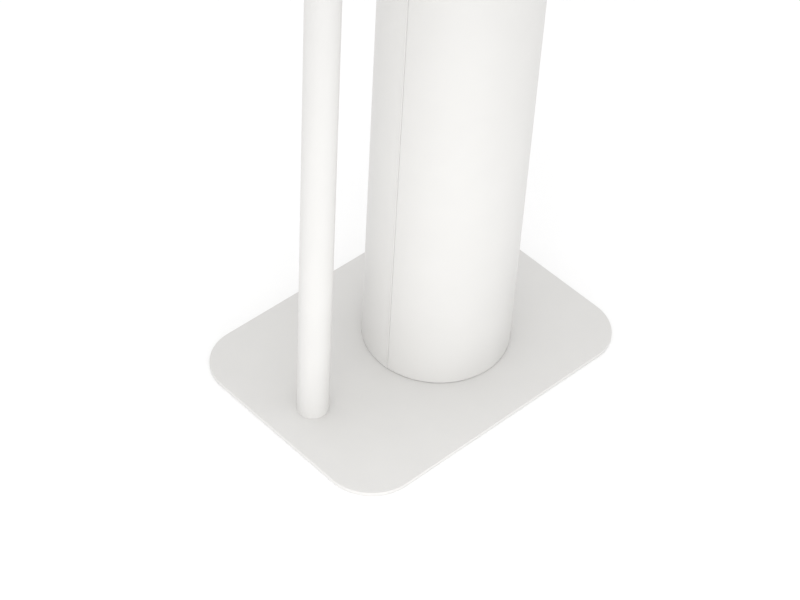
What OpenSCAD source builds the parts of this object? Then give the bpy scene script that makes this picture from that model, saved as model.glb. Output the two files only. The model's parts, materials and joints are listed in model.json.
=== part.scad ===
// Self-checkout exit gate: a swing arm on a round column, with a receipt scanner on a post.
// Frame: origin on the column's axis at floor level, +Z up. The post stands on the -X side,
// the closed arm points along +Y, and it opens by a quarter turn towards +X.

/* [Base plate] */
// Length of the plate, along the line from post to column
plate_l = 400; // [380:1:480]
// Width of the plate
plate_w = 290; // [240:1:400]
// Thickness of the plate
plate_t = 5; // [5:0.5:12]
// Radius of the plate's corners
plate_corner_r = 54; // [20:1:70]
// Distance from the plate's middle to the column's axis
column_offset = 35; // [20:1:60]
// Distance from the post's axis to the column's axis
post_spacing = 182.5; // [160:0.5:195]

/* [Column] */
// Outer diameter of the column
column_d = 166; // [162:1:200]
// Thickness of the column's sheet
shell_t = 1.5; // [1:0.1:2.5]
// Height of the top edge of the fixed part of the column
shell_top = 690; // [660:5:900]
// Gap between the column's sheet and the plate
foot_gap = 0.8; // [0.3:0.1:2]
// Angle by which each seam lies past the column's middle plane
seam_angle = 6.5; // [0:0.5:12]
// Bend radius of the shell's folded edges
fold_r = 2; // [1.6:0.1:3]
// Depth of the shell's folded edges
fold_depth = 10; // [6:0.5:12]
// Gap between the cover's edge and the shell's fold
seam_gap = 0.3; // [0.3:0.1:1]

/* [Mast and foot] */
// Outer diameter of the mast tube
mast_d = 50; // [50:1:50]
// Wall of the mast tube
mast_wall = 3; // [2:0.5:4]
// Diameter of the mast's foot flange
flange_d = 136; // [130:1:138]
// Thickness of the mast's foot flange
flange_t = 10; // [8:1:16]
// Pitch circle of the floor anchors
anchor_pcd = 104; // [104:1:108]
// Diameter of the floor anchor holes
anchor_hole_d = 11; // [9:1:11]
// Pitch circle of the screws between plate and flange
foot_screw_pcd = 72; // [72:1:73]
// Inner diameter of the cable entry
entry_d = 16; // [10:1:18]

/* [Post] */
// Outer diameter of the scanner post
post_d = 35; // [35:1:42]
// Wall of the scanner post
post_wall = 2; // [1.5:0.1:2]
// Height of the top of the scanner post
post_top = 1005; // [850:5:1200]

/* [Swing arm] */
// Gap between the fixed column and the turning sleeve
sleeve_gap = 4; // [2:0.5:6]
// Height of the turning sleeve
sleeve_h = 296; // [290:1:360]
// Reach of the arm from the column's axis
arm_reach = 720; // [500:5:900]
// Outer diameter of the arm's tube
arm_d = 25; // [22:1:28]
// Wall of the arm's tube
arm_wall = 1.5; // [1:0.1:2.5]
// Height of the lower arm tube above the sleeve's lower edge
arm_low = 51; // [40:1:60]
// Distance between the lower and the upper arm tube
arm_span = 200; // [160:1:210]
// Bend radius of the arm's tube
arm_bend_r = 60; // [50:1:75]
// Thickness of the clear panel
panel_t = 5; // [4:0.5:8]
// Gap between the panel's edge and the tubes
panel_gap = 8; // [5:0.5:14]
// Angle through which the arm opens
arm_travel = 90; // [60:5:90]
// Radius of the sign on the panel
sign_r = 60; // [40:1:62]

/* [Drive] */
// Module of the gears
gear_module = 1.5; // [1.5:0.5:1.5]
// Teeth on the large gear
main_teeth = 60; // [60:1:60]
// Teeth on the pinion
pinion_teeth = 15; // [15:1:16]
// Width of the gears
gear_w = 10; // [8:1:10]
// Play between the gear teeth, along the pitch circle
backlash = 0.25; // [0.15:0.05:0.4]
// Diameter of the motor
motor_d = 42; // [36:1:44]
// Length of the motor
motor_l = 58; // [40:1:60]

/* [Scanner] */
// Width of the scanner head
head_w = 84; // [72:1:110]
// Height of the scanner head
head_h = 96; // [84:1:130]
// Depth of the scanner's rear shell
head_rear = 22; // [20:1:40]
// Depth of the scanner's front frame
head_front = 12; // [12:1:20]
// Upward slope of the scanner's window at rest
head_slope = 40; // [30:1:50]

/* [Hidden] */
$fn = 96;
// Clearances
press_clear = 0.02;
run_clear = 0.05;
slip_clear = 0.3;
seat_clear = 0.2;
cut = 1;

// Column
column_r = column_d / 2;
column_ri = column_r - shell_t;
disc_r = column_ri - slip_clear;
shell_z0 = plate_t + foot_gap;
post_x = -post_spacing;
plate_x = -column_offset;
mast_r = mast_d / 2;
mast_ri = mast_r - mast_wall;
mast_foot_z = plate_t;
bulkhead_z = 100;
bulkhead_t = 5;
ring_h = 14;
ring_w = 11;
fold_notch = 1;

// Turning sleeve and its two hubs
sleeve_z0 = shell_top + sleeve_gap;
sleeve_z1 = sleeve_z0 + sleeve_h;
hub_t = 8;
hub_z0 = sleeve_z0 + 4;
hub_z1 = sleeve_z1 - 14;
boss_r = 36;
bearing_ro = 32.5;
bearing_w = 7;
bearing_ring_t = 2.6;
bearing_lip = 2.5;
ball_r = 2;
ball_pitch_r = (mast_r + bearing_ro) / 2;
balls = 12;
low_boss_z = hub_z0 - 14;
low_bearing_z = low_boss_z + 2;
up_boss_z = hub_z1 - 10;
up_bearing_z = hub_z1 + hub_t - bearing_w;
mast_top = sleeve_z1 + 10;

// Gears
main_r = gear_module * main_teeth / 2;
pinion_r = gear_module * pinion_teeth / 2;
gear_centres = main_r + pinion_r;
pressure_angle = 25;
main_gear_z = hub_z0 - gear_w;
pinion_gap = 0.5;
pinion_z = main_gear_z - pinion_gap;
gear_screw_r = (boss_r + main_r - 1.25 * gear_module) / 2;
shaft_r = 3;
pinion_hub_r = 7;

// Drive plate, motor and stops
drive_t = 6;
drive_z = shell_top - 30;
gearbox_l = 40;
gearbox_z = drive_z - gearbox_l;
motor_z = gearbox_z - motor_l;
brake_l = 14;
brake_z = motor_z - brake_l;
motor_screw_r = 15;
motor_y = -gear_centres;
shaft_z0 = drive_z - 18;
pilot_r = 8;
stop_r = 66;
stop_pin_r = 6;
lug_half = 6;
lug_l = 14;
lug_z = hub_z0 - 12;
stop_clear = 0.3;
stop_lead = asin((lug_half + stop_pin_r + stop_clear) / stop_r);

// Top cap
cap_z = sleeve_z1 + 4;
light_ring_w = 6;
cap_h = 12;
cap_round = 6;
carrier_t = 4;
carrier_r = column_r - light_ring_w - seat_clear;
key_x = -45;
key_body_r = 9.5;
key_r = 6;
key_proud = 2;

// Arm
arm_r = arm_d / 2;
arm_z0 = sleeve_z0 + arm_low;
arm_z1 = arm_z0 + arm_span;
arm_far = arm_reach - arm_r;
bracket_y = 40;
bracket_t = 6;
bracket_w = 60;
socket_l = 26;
socket_r = 16.5;
panel_y0 = column_r + 22;
panel_y1 = arm_far - arm_r - panel_gap;
panel_z0 = arm_z0 + arm_r + panel_gap;
panel_z1 = arm_z1 - arm_r - panel_gap;
clip_l = 26;
clip_w = 14;
clip_grip = 12;
clip_ys = [panel_y0 + 50, (panel_y0 + panel_y1) / 2, panel_y1 - 50];
sign_t = 0.3;
sign_room = (panel_z1 - panel_z0) / 2 - clip_grip - 2;
sign_fit_r = min(sign_r, sign_room);
sign_y = (panel_y0 + panel_y1) / 2;
sign_z = (panel_z0 + panel_z1) / 2;

// Post and scanner
post_r = post_d / 2;
post_ri = post_r - post_wall;
plug_h = 40;
lead_offset = post_ri - 4;
yoke_t = 7;
ear_t = 6;
ear_w = 22;
pivot_up = 34;
pivot_z = post_top + pivot_up;
pivot_r = 3;
pivot_head_r = 5;
pivot_head_h = 2.5;
knuckle_r = 10;
knuckle_half = post_r - ear_t - slip_clear;
head_gap = 14;
head_wall = 2.5;
head_corner = 14;
window_w = head_w - 24;
window_h = head_h - 40;
window_t = 2;
window_x = -6;
window_corner = 6;
bezel_t = 3;
lamp_x = head_h / 2 - 12;
lamp_h = 5;
lamp_w = head_w - 40;

// Electronics
panel_face_y = -(mast_r + 11);
board_panel_w = 120;
board_panel_t = 2;
board_panel_z0 = 120;
board_panel_z1 = 530;
pcb_t = 1.6;
pcb_z0 = 360;
pcb_w = 100;
pcb_h = 150;
standoff = 6;
supply_w = 78;
supply_d = 27;
supply_h = 130;
supply_z = 150;

// Leads: sides of the swept tube and diameters
lead_sides = 8;
lead_d = 2.4;
lead_bend = 5;
groove_w = 12;
groove_depth = 3.6;
groove_z = 2.3;
groove_end = 2.5;
lead_x = post_x + lead_offset;
lead_port_r = 4;
lead_port_shift = 1;
entry_x = -18.5;
port_z = 320;
mast_port_r = 4;
light_port_z = board_panel_z1 + 8;
light_lead_x = 34;
light_lead_r = carrier_r - 10;
motor_lead_x = 20;
board_lead_x = -44;

// Screws, studs and grommet
foot_screw_d = 8;
shell_screw_d = 4;
shell_screw_l = 9;
shell_screw_angles = [65, 115];
sleeve_screw_angles = [30, 150, 270];
foot_screw_z = plate_t + ring_h / 2;
drive_screw_z = drive_z + drive_t / 2;
clamp_r = 33;
clamp_h = 12;
stud_r = 2.5;
stud_l = 11;
clip_h = 10;
clip_angles = [225, 315];
clip_zs = [bulkhead_z + bulkhead_t + clip_h / 2, drive_z - clip_h / 2];
motor_screw_d = 3;
motor_screw_l = 10;
gear_screw_d = 3;
cap_screw_d = 4;
cap_screw_r = 62;
cap_top = mast_top + carrier_t + cap_h;
entry_r = entry_d / 2;
grommet_wall = 3;
grommet_r = entry_r + grommet_wall + 3;
grommet_sink = 2;

// ---------- shared shapes ----------

// Places children at each angle of a ring of positions
module at_angles(angles, r = 0) {
    for (a = angles) rotate([0, 0, a]) translate([r, 0, 0]) children();
}

// Even angles around a circle
function ring_angles(n, start = 0) = [for (i = [0 : n - 1]) start + i * 360 / n];

// Upright ring from z0 to z1
module ring(ro, ri, z0, z1) {
    difference() {
        translate([0, 0, z0]) cylinder(r = ro, h = z1 - z0);
        translate([0, 0, z0 - cut]) cylinder(r = ri, h = z1 - z0 + 2 * cut);
    }
}

// Upright round bar from z0 to z1
module bar(r, z0, z1) {
    translate([0, 0, z0]) cylinder(r = r, h = z1 - z0);
}

// Flat rectangle with round corners, centred
module round_rect(l, w, r) {
    square([l - 2 * r, w], center = true);
    square([l, w - 2 * r], center = true);
    for (x = [-1, 1], y = [-1, 1])
        translate([x * (l / 2 - r), y * (w / 2 - r)]) circle(r = r);
}

// Bar along +X from x0 to x1
module bar_x(r, x0, x1) {
    translate([x0, 0, 0]) rotate([0, 90, 0]) cylinder(r = r, h = x1 - x0);
}

// Bar along +Y from y0 to y1
module bar_y(r, y0, y1) {
    translate([0, y0, 0]) rotate([-90, 0, 0]) cylinder(r = r, h = y1 - y0);
}

// Countersunk screw: head's top at z = 0, shank downwards
module flat_head_screw(d, length) {
    head_r = d;
    sink = d / 2;
    rotate_extrude() polygon([[0, 0], [head_r, 0], [head_r, -0.2], [d / 2, -0.2 - sink],
        [d / 2, -length], [0, -length]]);
}

// Its seat, with clearance
module flat_head_seat(d, depth) {
    head_r = d + seat_clear;
    rotate_extrude() polygon([[0, cut], [head_r, cut], [head_r, -0.2],
        [d / 2 + seat_clear, -0.2 - d / 2], [d / 2 + seat_clear, -depth], [0, -depth]]);
}

// Button head screw: under-head face at z = 0, shank downwards, hexagon socket on top
module button_screw(d, length) {
    head_h = 0.55 * d;
    difference() {
        union() {
            cylinder(r = 0.95 * d, h = head_h);
            translate([0, 0, -length]) cylinder(r = d / 2, h = length);
        }
        translate([0, 0, head_h / 2]) cylinder(r = 0.35 * d, h = head_h, $fn = 6);
    }
}

// Rounded tube bend in the XY plane about the origin, from +X to +Y
module bend(r, tube_r) {
    rotate_extrude(angle = 90) translate([r, 0]) circle(r = tube_r);
}

// ---------- gears ----------

function involute(base, t) = [base * (cos(t) + t * PI / 180 * sin(t)),
    base * (sin(t) - t * PI / 180 * cos(t))];
function turned(p, a) = [p[0] * cos(a) - p[1] * sin(a), p[0] * sin(a) + p[1] * cos(a)];
function roll_angle(base, r) = sqrt(r * r / (base * base) - 1) * 180 / PI;

// One flank, from root to tip, turned so that the tooth's middle lies on +X
function flank(pitch, teeth, side) =
    let (base = pitch * cos(pressure_angle),
         tip = pitch + gear_module,
         lean = roll_angle(base, pitch) - pressure_angle,
         half = 90 / teeth - backlash / 4 / pitch * 180 / PI,
         steps = 3,
         first = max(base, pitch - gear_module))
    [for (i = [0 : steps])
        let (r = first + (tip - first) * i / steps,
             p = involute(base, roll_angle(base, r)))
        let (q = turned(p, -lean - half)) [q[0], side * q[1]]];

// Outline of one tooth with its root
function tooth(pitch, teeth) =
    let (root = pitch - 1.25 * gear_module,
         low = flank(pitch, teeth, 1),
         high = flank(pitch, teeth, -1),
         foot = atan2(low[0][1], low[0][0]))
    concat([root * [cos(foot), sin(foot)]], low,
        [high[3], high[2], high[1], high[0]], [root * [cos(foot), -sin(foot)]]);

module gear_outline(pitch, teeth) {
    polygon([for (k = [0 : teeth - 1], p = tooth(pitch, teeth)) turned(p, k * 360 / teeth)]);
}

// ---------- leads ----------

function unit(v) = v / norm(v);

// Quarter bend of radius r at corner c, from direction u to direction v
function quarter(c, u, v, r) = let (steps = 6) [for (i = [0 : steps])
    c - r * u * (1 - sin(90 * i / steps)) + r * v * (1 - cos(90 * i / steps))];

// A route along square corners, each of them bent round
function bent_route(p, r) = concat([p[0]],
    [for (i = [1 : len(p) - 2], q = quarter(p[i], unit(p[i] - p[i - 1]), unit(p[i + 1] - p[i]), r)) q],
    [p[len(p) - 1]]);

function path_dir(p, i) = unit(p[min(i + 1, len(p) - 1)] - p[max(i - 1, 0)]);

// Side directions, each carried from the last one so that the tube doesn't twist
function side_dirs(p, i, s) = let (d = path_dir(p, i), q = unit(s - d * (s * d)))
    i == len(p) - 1 ? [q] : concat([q], side_dirs(p, i + 1, q));

// Tube swept along a route whose first stretch is upright
module sweep(path, r) {
    n = len(path);
    m = lead_sides;
    dirs = side_dirs(path, 0, [0, 1, 0]);
    points = [for (i = [0 : n - 1]) let (s = dirs[i], w = cross(path_dir(path, i), s))
        for (k = [0 : m - 1]) path[i] + r * (cos(360 * k / m) * s + sin(360 * k / m) * w)];
    walls = [for (i = [0 : n - 2], k = [0 : m - 1])
        [i * m + k, (i + 1) * m + k, (i + 1) * m + (k + 1) % m, i * m + (k + 1) % m]];
    ends = [[for (k = [0 : m - 1]) k], [for (k = [m - 1 : -1 : 0]) (n - 1) * m + k]];
    polyhedron(points, concat(walls, ends));
}

// ---------- base, mast and column ----------

module base_plate() {
    color("#f4f4f2") difference() {
        translate([plate_x, 0, 0]) linear_extrude(plate_t)
            round_rect(plate_l, plate_w, plate_corner_r);
        at_angles(ring_angles(4, 45), anchor_pcd / 2) bar(anchor_hole_d / 2, -cut, plate_t + cut);
        at_angles(ring_angles(4, 45), foot_screw_pcd / 2) mirror([0, 0, 1])
            flat_head_seat(foot_screw_d, plate_t + cut);
        translate([post_x, 0, 0]) mirror([0, 0, 1]) flat_head_seat(foot_screw_d, plate_t + cut);
        bar(entry_r + grommet_wall, -cut, plate_t + cut);
        bar(grommet_r + seat_clear, -cut, grommet_sink);
        translate([lead_x - groove_end, -groove_w / 2, -cut])
            cube([entry_x - lead_x + 2 * groove_end, groove_w, groove_depth + cut]);
        for (x = [lead_x + lead_port_shift, entry_x - lead_port_shift])
            translate([x, 0, 0]) bar(lead_port_r, 0, plate_t + cut);
    }
}

module foot_screws() {
    color("silver") at_angles(ring_angles(4, 45), foot_screw_pcd / 2) mirror([0, 0, 1])
        flat_head_screw(foot_screw_d, plate_t + flange_t - 1);
}

// Strip that closes the lead's groove under the plate
module groove_cover() {
    x0 = lead_x - groove_end + seat_clear;
    x1 = entry_x + groove_end - seat_clear;
    color("dimgray") translate([x0, -groove_w / 2 + seat_clear, 0.1])
        cube([x1 - x0, groove_w - 2 * seat_clear, 0.8]);
}

module cable_grommet() {
    neck = entry_r + grommet_wall - run_clear;
    color("#222222") rotate_extrude() polygon([[entry_r, 0.2], [grommet_r, 0.2],
        [grommet_r, grommet_sink], [neck, grommet_sink], [neck, plate_t], [grommet_r, plate_t],
        [grommet_r, plate_t + 2], [entry_r, plate_t + 2]]);
}

module mast() {
    weld = 4;
    color("gainsboro") difference() {
        union() {
            bar(mast_r, mast_foot_z, mast_top);
            bar(flange_d / 2, mast_foot_z, mast_foot_z + flange_t);
            translate([0, 0, mast_foot_z + flange_t]) rotate_extrude()
                polygon([[mast_r - 1, 0], [mast_r + weld, 0], [mast_r, weld], [mast_r - 1, weld]]);
        }
        bar(mast_ri, 0, mast_top + cut);
        at_angles(ring_angles(4, 45), anchor_pcd / 2)
            bar(anchor_hole_d / 2, 0, mast_foot_z + flange_t + cut);
        at_angles(ring_angles(4, 45), foot_screw_pcd / 2)
            bar(foot_screw_d / 2 + press_clear, 0, mast_foot_z + flange_t + cut);
        translate([0, 0, port_z]) bar_x(mast_port_r, -mast_d, -mast_ri + 5);
        translate([0, 0, light_port_z]) bar_y(mast_port_r, -mast_d, -mast_ri + 5);
    }
}

// Slots that let the shell's folded edges pass a ring or a disc
module fold_slots(z0, z1) {
    for (side = [0, 1]) mirror([side, 0, 0]) rotate([0, 0, -seam_angle])
        translate([column_r - fold_depth - slip_clear, -slip_clear, z0 - cut])
            cube([fold_depth + 2 * slip_clear, shell_t + 2 * slip_clear, z1 - z0 + 2 * cut]);
}

// Tapped holes for the shell's screws
module shell_taps(z) {
    translate([0, 0, z]) at_angles(shell_screw_angles)
        bar_x(shell_screw_d / 2 + press_clear, column_r - shell_screw_l - 1, column_r + cut);
}

module foot_ring() {
    color("gainsboro") difference() {
        ring(disc_r, disc_r - ring_w, plate_t, plate_t + ring_h);
        fold_slots(plate_t, plate_t + ring_h);
        shell_taps(foot_screw_z);
    }
}

module lower_bulkhead() {
    top = bulkhead_z + bulkhead_t;
    color("gainsboro") difference() {
        union() {
            bar(disc_r, bulkhead_z, top);
            bar(clamp_r, top - cut, top + clamp_h);
        }
        bar(mast_r + press_clear, bulkhead_z - cut, top + clamp_h + cut);
        at_angles([0, 90, 180], 57) bar(13, bulkhead_z - cut, top + cut);
        fold_slots(bulkhead_z, top);
    }
}

// Sheet of the column from angle a0 to a1
module sheet_sector(a0, a1) {
    rotate([0, 0, a0]) rotate_extrude(angle = a1 - a0)
        translate([column_ri, shell_z0]) square([shell_t, shell_top - shell_z0]);
}

// Folded edge, with its end face on the XZ plane and the sheet on one side of it
module fold(side) {
    start = column_r - fold_r;
    middle = start + fold_r * sin(45);
    shoulder = column_r - shell_t / 6;
    points = [[column_r - fold_depth, 0], [start, 0], [middle, fold_r * (1 - cos(45))],
        [shoulder, 0.8 * fold_r], [column_r - shell_t / 3, 2 * fold_r],
        [column_ri + shell_t / 4, 2 * fold_r], [column_ri + shell_t / 4, shell_t],
        [column_r - fold_depth, shell_t]];
    translate([0, 0, shell_z0 + fold_notch])
        linear_extrude(shell_top - shell_z0 - 2 * fold_notch)
            polygon([for (p = points) [p[0], side * p[1]]]);
}

// Rear half of the lower column: it stays on the stand
module fixed_shell() {
    start = asin(0.6 * fold_r / column_r) - seam_angle;
    color("#f4f4f2") difference() {
        union() {
            sheet_sector(start, 180 - start);
            rotate([0, 0, -seam_angle]) fold(1);
            rotate([0, 0, 180 + seam_angle]) fold(-1);
        }
        for (z = [foot_screw_z, drive_screw_z]) translate([0, 0, z]) at_angles(shell_screw_angles)
            bar_x(shell_screw_d / 2 + seat_clear, column_r - 5, column_r + cut);
    }
}

// Lift-off front half of the lower column
module service_cover() {
    gap = asin(seam_gap / column_r);
    color("#f4f4f2") sheet_sector(180 + seam_angle + gap, 360 - seam_angle - gap);
}

module shell_screws() {
    color("silver") for (z = [foot_screw_z, drive_screw_z]) translate([0, 0, z])
        at_angles(shell_screw_angles, column_r) rotate([0, 90, 0])
            button_screw(shell_screw_d, shell_screw_l);
}

// Studs inside the cover, which press into the clips
module cover_studs() {
    color("silver") for (z = clip_zs) translate([0, 0, z]) at_angles(clip_angles)
        bar_x(stud_r, column_ri - stud_l, column_ri - run_clear);
}

module cover_clips() {
    r0 = column_ri - stud_l - 3;
    color("#303030") for (z = clip_zs) translate([0, 0, z]) at_angles(clip_angles) difference() {
        translate([r0, -clip_h / 2, -clip_h / 2]) cube([stud_l, clip_h, clip_h]);
        bar_x(stud_r + run_clear, r0 + 2, column_r);
    }
}

// ---------- electronics ----------

module panel_brackets() {
    color("gainsboro") for (z = [board_panel_z0 + 20, board_panel_z1 - 60]) difference() {
        translate([-16, panel_face_y, z]) cube([32, -panel_face_y - 15, 30]);
        bar(mast_r + press_clear, z - cut, z + 30 + cut);
    }
}

module electronics_panel() {
    color("silver") difference() {
        translate([-board_panel_w / 2, panel_face_y - board_panel_t, board_panel_z0])
            cube([board_panel_w, board_panel_t, board_panel_z1 - board_panel_z0]);
        translate([board_lead_x, 0, port_z]) bar_y(mast_port_r, -column_r, panel_face_y + cut);
    }
}

module power_supply() {
    front = panel_face_y - board_panel_t;
    slots = 9;
    color("darkgray") difference() {
        translate([-supply_w / 2, front - supply_d, supply_z])
            cube([supply_w, supply_d, supply_h]);
        for (i = [0 : slots - 1]) translate([-supply_w / 2 + 9,
            front - supply_d - cut, supply_z + 30 + i * 9]) cube([supply_w - 18, cut + 2, 4]);
        translate([-supply_w / 2 - cut, front - supply_d - cut, supply_z - cut])
            cube([supply_w + 2 * cut, 12, 16]);
    }
}

module control_board() {
    back = panel_face_y - board_panel_t;
    face = back - standoff - pcb_t;
    color("seagreen") translate([-pcb_w / 2, face, pcb_z0]) cube([pcb_w, pcb_t, pcb_h]);
    color("silver") for (x = [-1, 1], z = [8, pcb_h - 8])
        translate([x * (pcb_w / 2 - 6), 0, pcb_z0 + z]) bar_y(3, back - standoff, back);
    color("#303030") {
        translate([board_lead_x - 6, face - 10, pcb_z0 + 2]) cube([12, 10, 12]);
        translate([motor_lead_x - 6, motor_y - 4, pcb_z0 + pcb_h - 12])
            cube([12, face - motor_y + 4, 12]);
        translate([light_lead_x - 5, face - 9, pcb_z0 + pcb_h - 12]) cube([10, 9, 12]);
        for (i = [0 : 2]) translate([-30 + i * 22, face - 14, pcb_z0 + 70]) cube([16, 14, 24]);
        translate([-20, face - 4, pcb_z0 + 30]) cube([24, 4, 24]);
    }
    color("silver") for (i = [0 : 1])
        translate([20 + i * 14, 0, pcb_z0 + 40]) bar_y(5, face - 12, face);
}

// ---------- drive ----------

module drive_plate() {
    color("silver") difference() {
        union() {
            bar(disc_r, drive_z, drive_z + drive_t);
            bar(clamp_r, drive_z - clamp_h, drive_z + cut);
        }
        bar(mast_r + press_clear, drive_z - clamp_h - cut, drive_z + drive_t + cut);
        translate([0, motor_y, 0]) {
            bar(pilot_r + press_clear, drive_z - cut, drive_z + drive_t + cut);
            at_angles(ring_angles(4, 45), motor_screw_r)
                bar(motor_screw_d / 2 + seat_clear, drive_z - cut, drive_z + drive_t + cut);
        }
        fold_slots(drive_z, drive_z + drive_t);
        shell_taps(drive_screw_z);
    }
}

module gearbox() {
    color("darkgray") translate([0, motor_y, 0]) difference() {
        union() {
            bar(motor_d / 2, gearbox_z, drive_z);
            bar(pilot_r, drive_z - cut, drive_z + drive_t / 2);
        }
        bar(shaft_r + run_clear, shaft_z0 - 1, drive_z + drive_t);
        at_angles(ring_angles(4, 45), motor_screw_r)
            bar(motor_screw_d / 2 + press_clear, drive_z - motor_screw_l, drive_z + cut);
    }
}

module motor() {
    color("#404040") translate([0, motor_y, 0]) bar(motor_d / 2 - 1, motor_z, gearbox_z);
}

module motor_brake() {
    color("#303030") translate([0, motor_y, 0]) bar(motor_d / 2 - 2, brake_z, motor_z);
}

module motor_screws() {
    color("silver") translate([0, motor_y, drive_z + drive_t])
        at_angles(ring_angles(4, 45), motor_screw_r) button_screw(motor_screw_d, motor_screw_l);
}

module motor_shaft() {
    color("silver") translate([0, motor_y, 0]) bar(shaft_r, shaft_z0, pinion_z + gear_w);
}

module drive_pinion() {
    hub_l = 7;
    color("goldenrod") translate([0, motor_y, 0]) difference() {
        union() {
            translate([0, 0, pinion_z]) rotate(90 + 180 / pinion_teeth)
                linear_extrude(gear_w) gear_outline(pinion_r, pinion_teeth);
            bar(pinion_hub_r, pinion_z - hub_l, pinion_z + cut);
        }
        bar(shaft_r + press_clear, pinion_z - hub_l - cut, pinion_z + gear_w + cut);
    }
}

// Rubber stops at both ends of the arm's travel
module bump_stops() {
    color("#222222") at_angles([90 + stop_lead, 90 - arm_travel - stop_lead], stop_r)
        bar(stop_pin_r, drive_z + drive_t, hub_z0 - 2);
}

// ---------- bearings ----------

// Both bearings' places
module at_bearings() {
    for (z = [low_bearing_z, up_bearing_z]) translate([0, 0, z]) children();
}

module ball_track() {
    rotate_extrude() translate([ball_pitch_r, bearing_w / 2]) circle(r = ball_r + run_clear);
}

module bearing_collars() {
    lip_r = mast_r + bearing_lip;
    bore = mast_r + press_clear;
    up = up_bearing_z + bearing_w;
    color("silver") {
        difference() {
            union() {
                bar(clamp_r, low_bearing_z - 16, low_boss_z - 2);
                bar(lip_r, low_boss_z - 3, low_bearing_z);
            }
            bar(bore, 0, mast_top);
        }
        difference() {
            union() {
                bar(lip_r, up, up + 3);
                bar(clamp_r, up + 2, up + 8);
            }
            bar(bore, 0, mast_top + cut);
        }
    }
}

module bearing_inner_rings() {
    ri = mast_r + press_clear;
    color("silver") at_bearings() difference() {
        ring(ri + bearing_ring_t, ri, 0, bearing_w);
        ball_track();
    }
}

module bearing_outer_rings() {
    color("silver") at_bearings() difference() {
        ring(bearing_ro, bearing_ro - bearing_ring_t, 0, bearing_w);
        ball_track();
    }
}

module bearing_balls() {
    color("silver") at_bearings() at_angles(ring_angles(balls), ball_pitch_r)
        translate([0, 0, bearing_w / 2]) sphere(r = ball_r, $fn = 32);
}

// ---------- turning part ----------

// Disc of a hub with its tapped holes for the sleeve's screws
module hub_disc(z) {
    difference() {
        bar(column_ri - press_clear, z, z + hub_t);
        translate([0, 0, z + hub_t / 2]) at_angles(sleeve_screw_angles)
            bar_x(shell_screw_d / 2 + press_clear, column_r - shell_screw_l - 1, column_r + cut);
        at_angles(sleeve_screw_angles, 60) bar(9, z - cut, z + hub_t + cut);
    }
}

module lower_hub() {
    top = hub_z0 + hub_t;
    color("silver") difference() {
        union() {
            hub_disc(hub_z0);
            bar(boss_r, low_boss_z, top);
            translate([-lug_half, stop_r - lug_l / 2, lug_z])
                cube([2 * lug_half, lug_l, hub_z0 - lug_z + cut]);
        }
        bar(bearing_ro - bearing_lip, low_boss_z - cut, top + cut);
        bar(bearing_ro + press_clear, low_boss_z - cut, low_bearing_z + bearing_w);
        at_angles(ring_angles(4, 45), gear_screw_r)
            bar(gear_screw_d / 2 + press_clear, hub_z0 - cut, top + cut);
    }
}

module upper_hub() {
    top = hub_z1 + hub_t;
    color("silver") difference() {
        union() {
            hub_disc(hub_z1);
            bar(boss_r, up_boss_z, top);
        }
        bar(bearing_ro - bearing_lip, up_boss_z - cut, top + cut);
        bar(bearing_ro + press_clear, up_bearing_z, top + cut);
    }
}

module main_gear() {
    color("goldenrod") translate([0, 0, main_gear_z]) difference() {
        rotate(-90) linear_extrude(gear_w) gear_outline(main_r, main_teeth);
        bar(boss_r + press_clear, -cut, gear_w + cut);
        at_angles(ring_angles(4, 45), gear_screw_r)
            bar(gear_screw_d / 2 + seat_clear, -cut, gear_w + cut);
    }
}

module gear_screws() {
    color("silver") translate([0, 0, main_gear_z]) at_angles(ring_angles(4, 45), gear_screw_r)
        mirror([0, 0, 1]) button_screw(gear_screw_d, gear_w + hub_t - 2);
}

module turning_sleeve() {
    color("#f4f4f2") difference() {
        ring(column_r, column_ri, sleeve_z0, sleeve_z1);
        for (z = [arm_z0, arm_z1]) translate([0, 0, z]) bar_y(arm_r + slip_clear, 0, column_d);
        for (z = [hub_z0, hub_z1]) translate([0, 0, z + hub_t / 2]) at_angles(sleeve_screw_angles)
            bar_x(shell_screw_d / 2 + seat_clear, column_r - 5, column_r + cut);
    }
}

module sleeve_screws() {
    color("silver") for (z = [hub_z0, hub_z1]) translate([0, 0, z + hub_t / 2])
        at_angles(sleeve_screw_angles, column_r) rotate([0, 90, 0])
            button_screw(shell_screw_d, shell_screw_l);
}

// Plate between the hubs, with a socket for each end of the arm's tube
module arm_bracket() {
    z0 = hub_z0 + hub_t;
    color("gainsboro") difference() {
        union() {
            translate([-bracket_w / 2, bracket_y, z0]) cube([bracket_w, bracket_t, hub_z1 - z0]);
            for (z = [arm_z0, arm_z1]) translate([0, 0, z])
                bar_y(socket_r, bracket_y + bracket_t - cut, bracket_y + bracket_t + socket_l);
        }
        for (z = [arm_z0, arm_z1]) translate([0, 0, z])
            bar_y(arm_r + run_clear, bracket_y + bracket_t, column_r);
        translate([0, 0, (arm_z0 + arm_z1) / 2]) bar_y(18, bracket_y - cut, column_r);
    }
}

// The arm's tube as a bar of a given radius, longer at its ends by more
module arm_bar(r, more) {
    y0 = bracket_y + bracket_t + 1 - more;
    straight = arm_far - arm_bend_r;
    for (z = [arm_z0, arm_z1]) translate([0, 0, z]) bar_y(r, y0, straight);
    translate([0, arm_far, 0]) bar(r, arm_z0 + arm_bend_r, arm_z1 - arm_bend_r);
    translate([0, straight, arm_z1 - arm_bend_r]) rotate([90, 0, 90]) bend(arm_bend_r, r);
    translate([0, straight, arm_z0 + arm_bend_r]) mirror([0, 0, 1]) rotate([90, 0, 90])
        bend(arm_bend_r, r);
}

module arm_loop() {
    color("#f4f4f2") difference() {
        arm_bar(arm_r, 0);
        arm_bar(arm_r - arm_wall, cut);
    }
}

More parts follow.
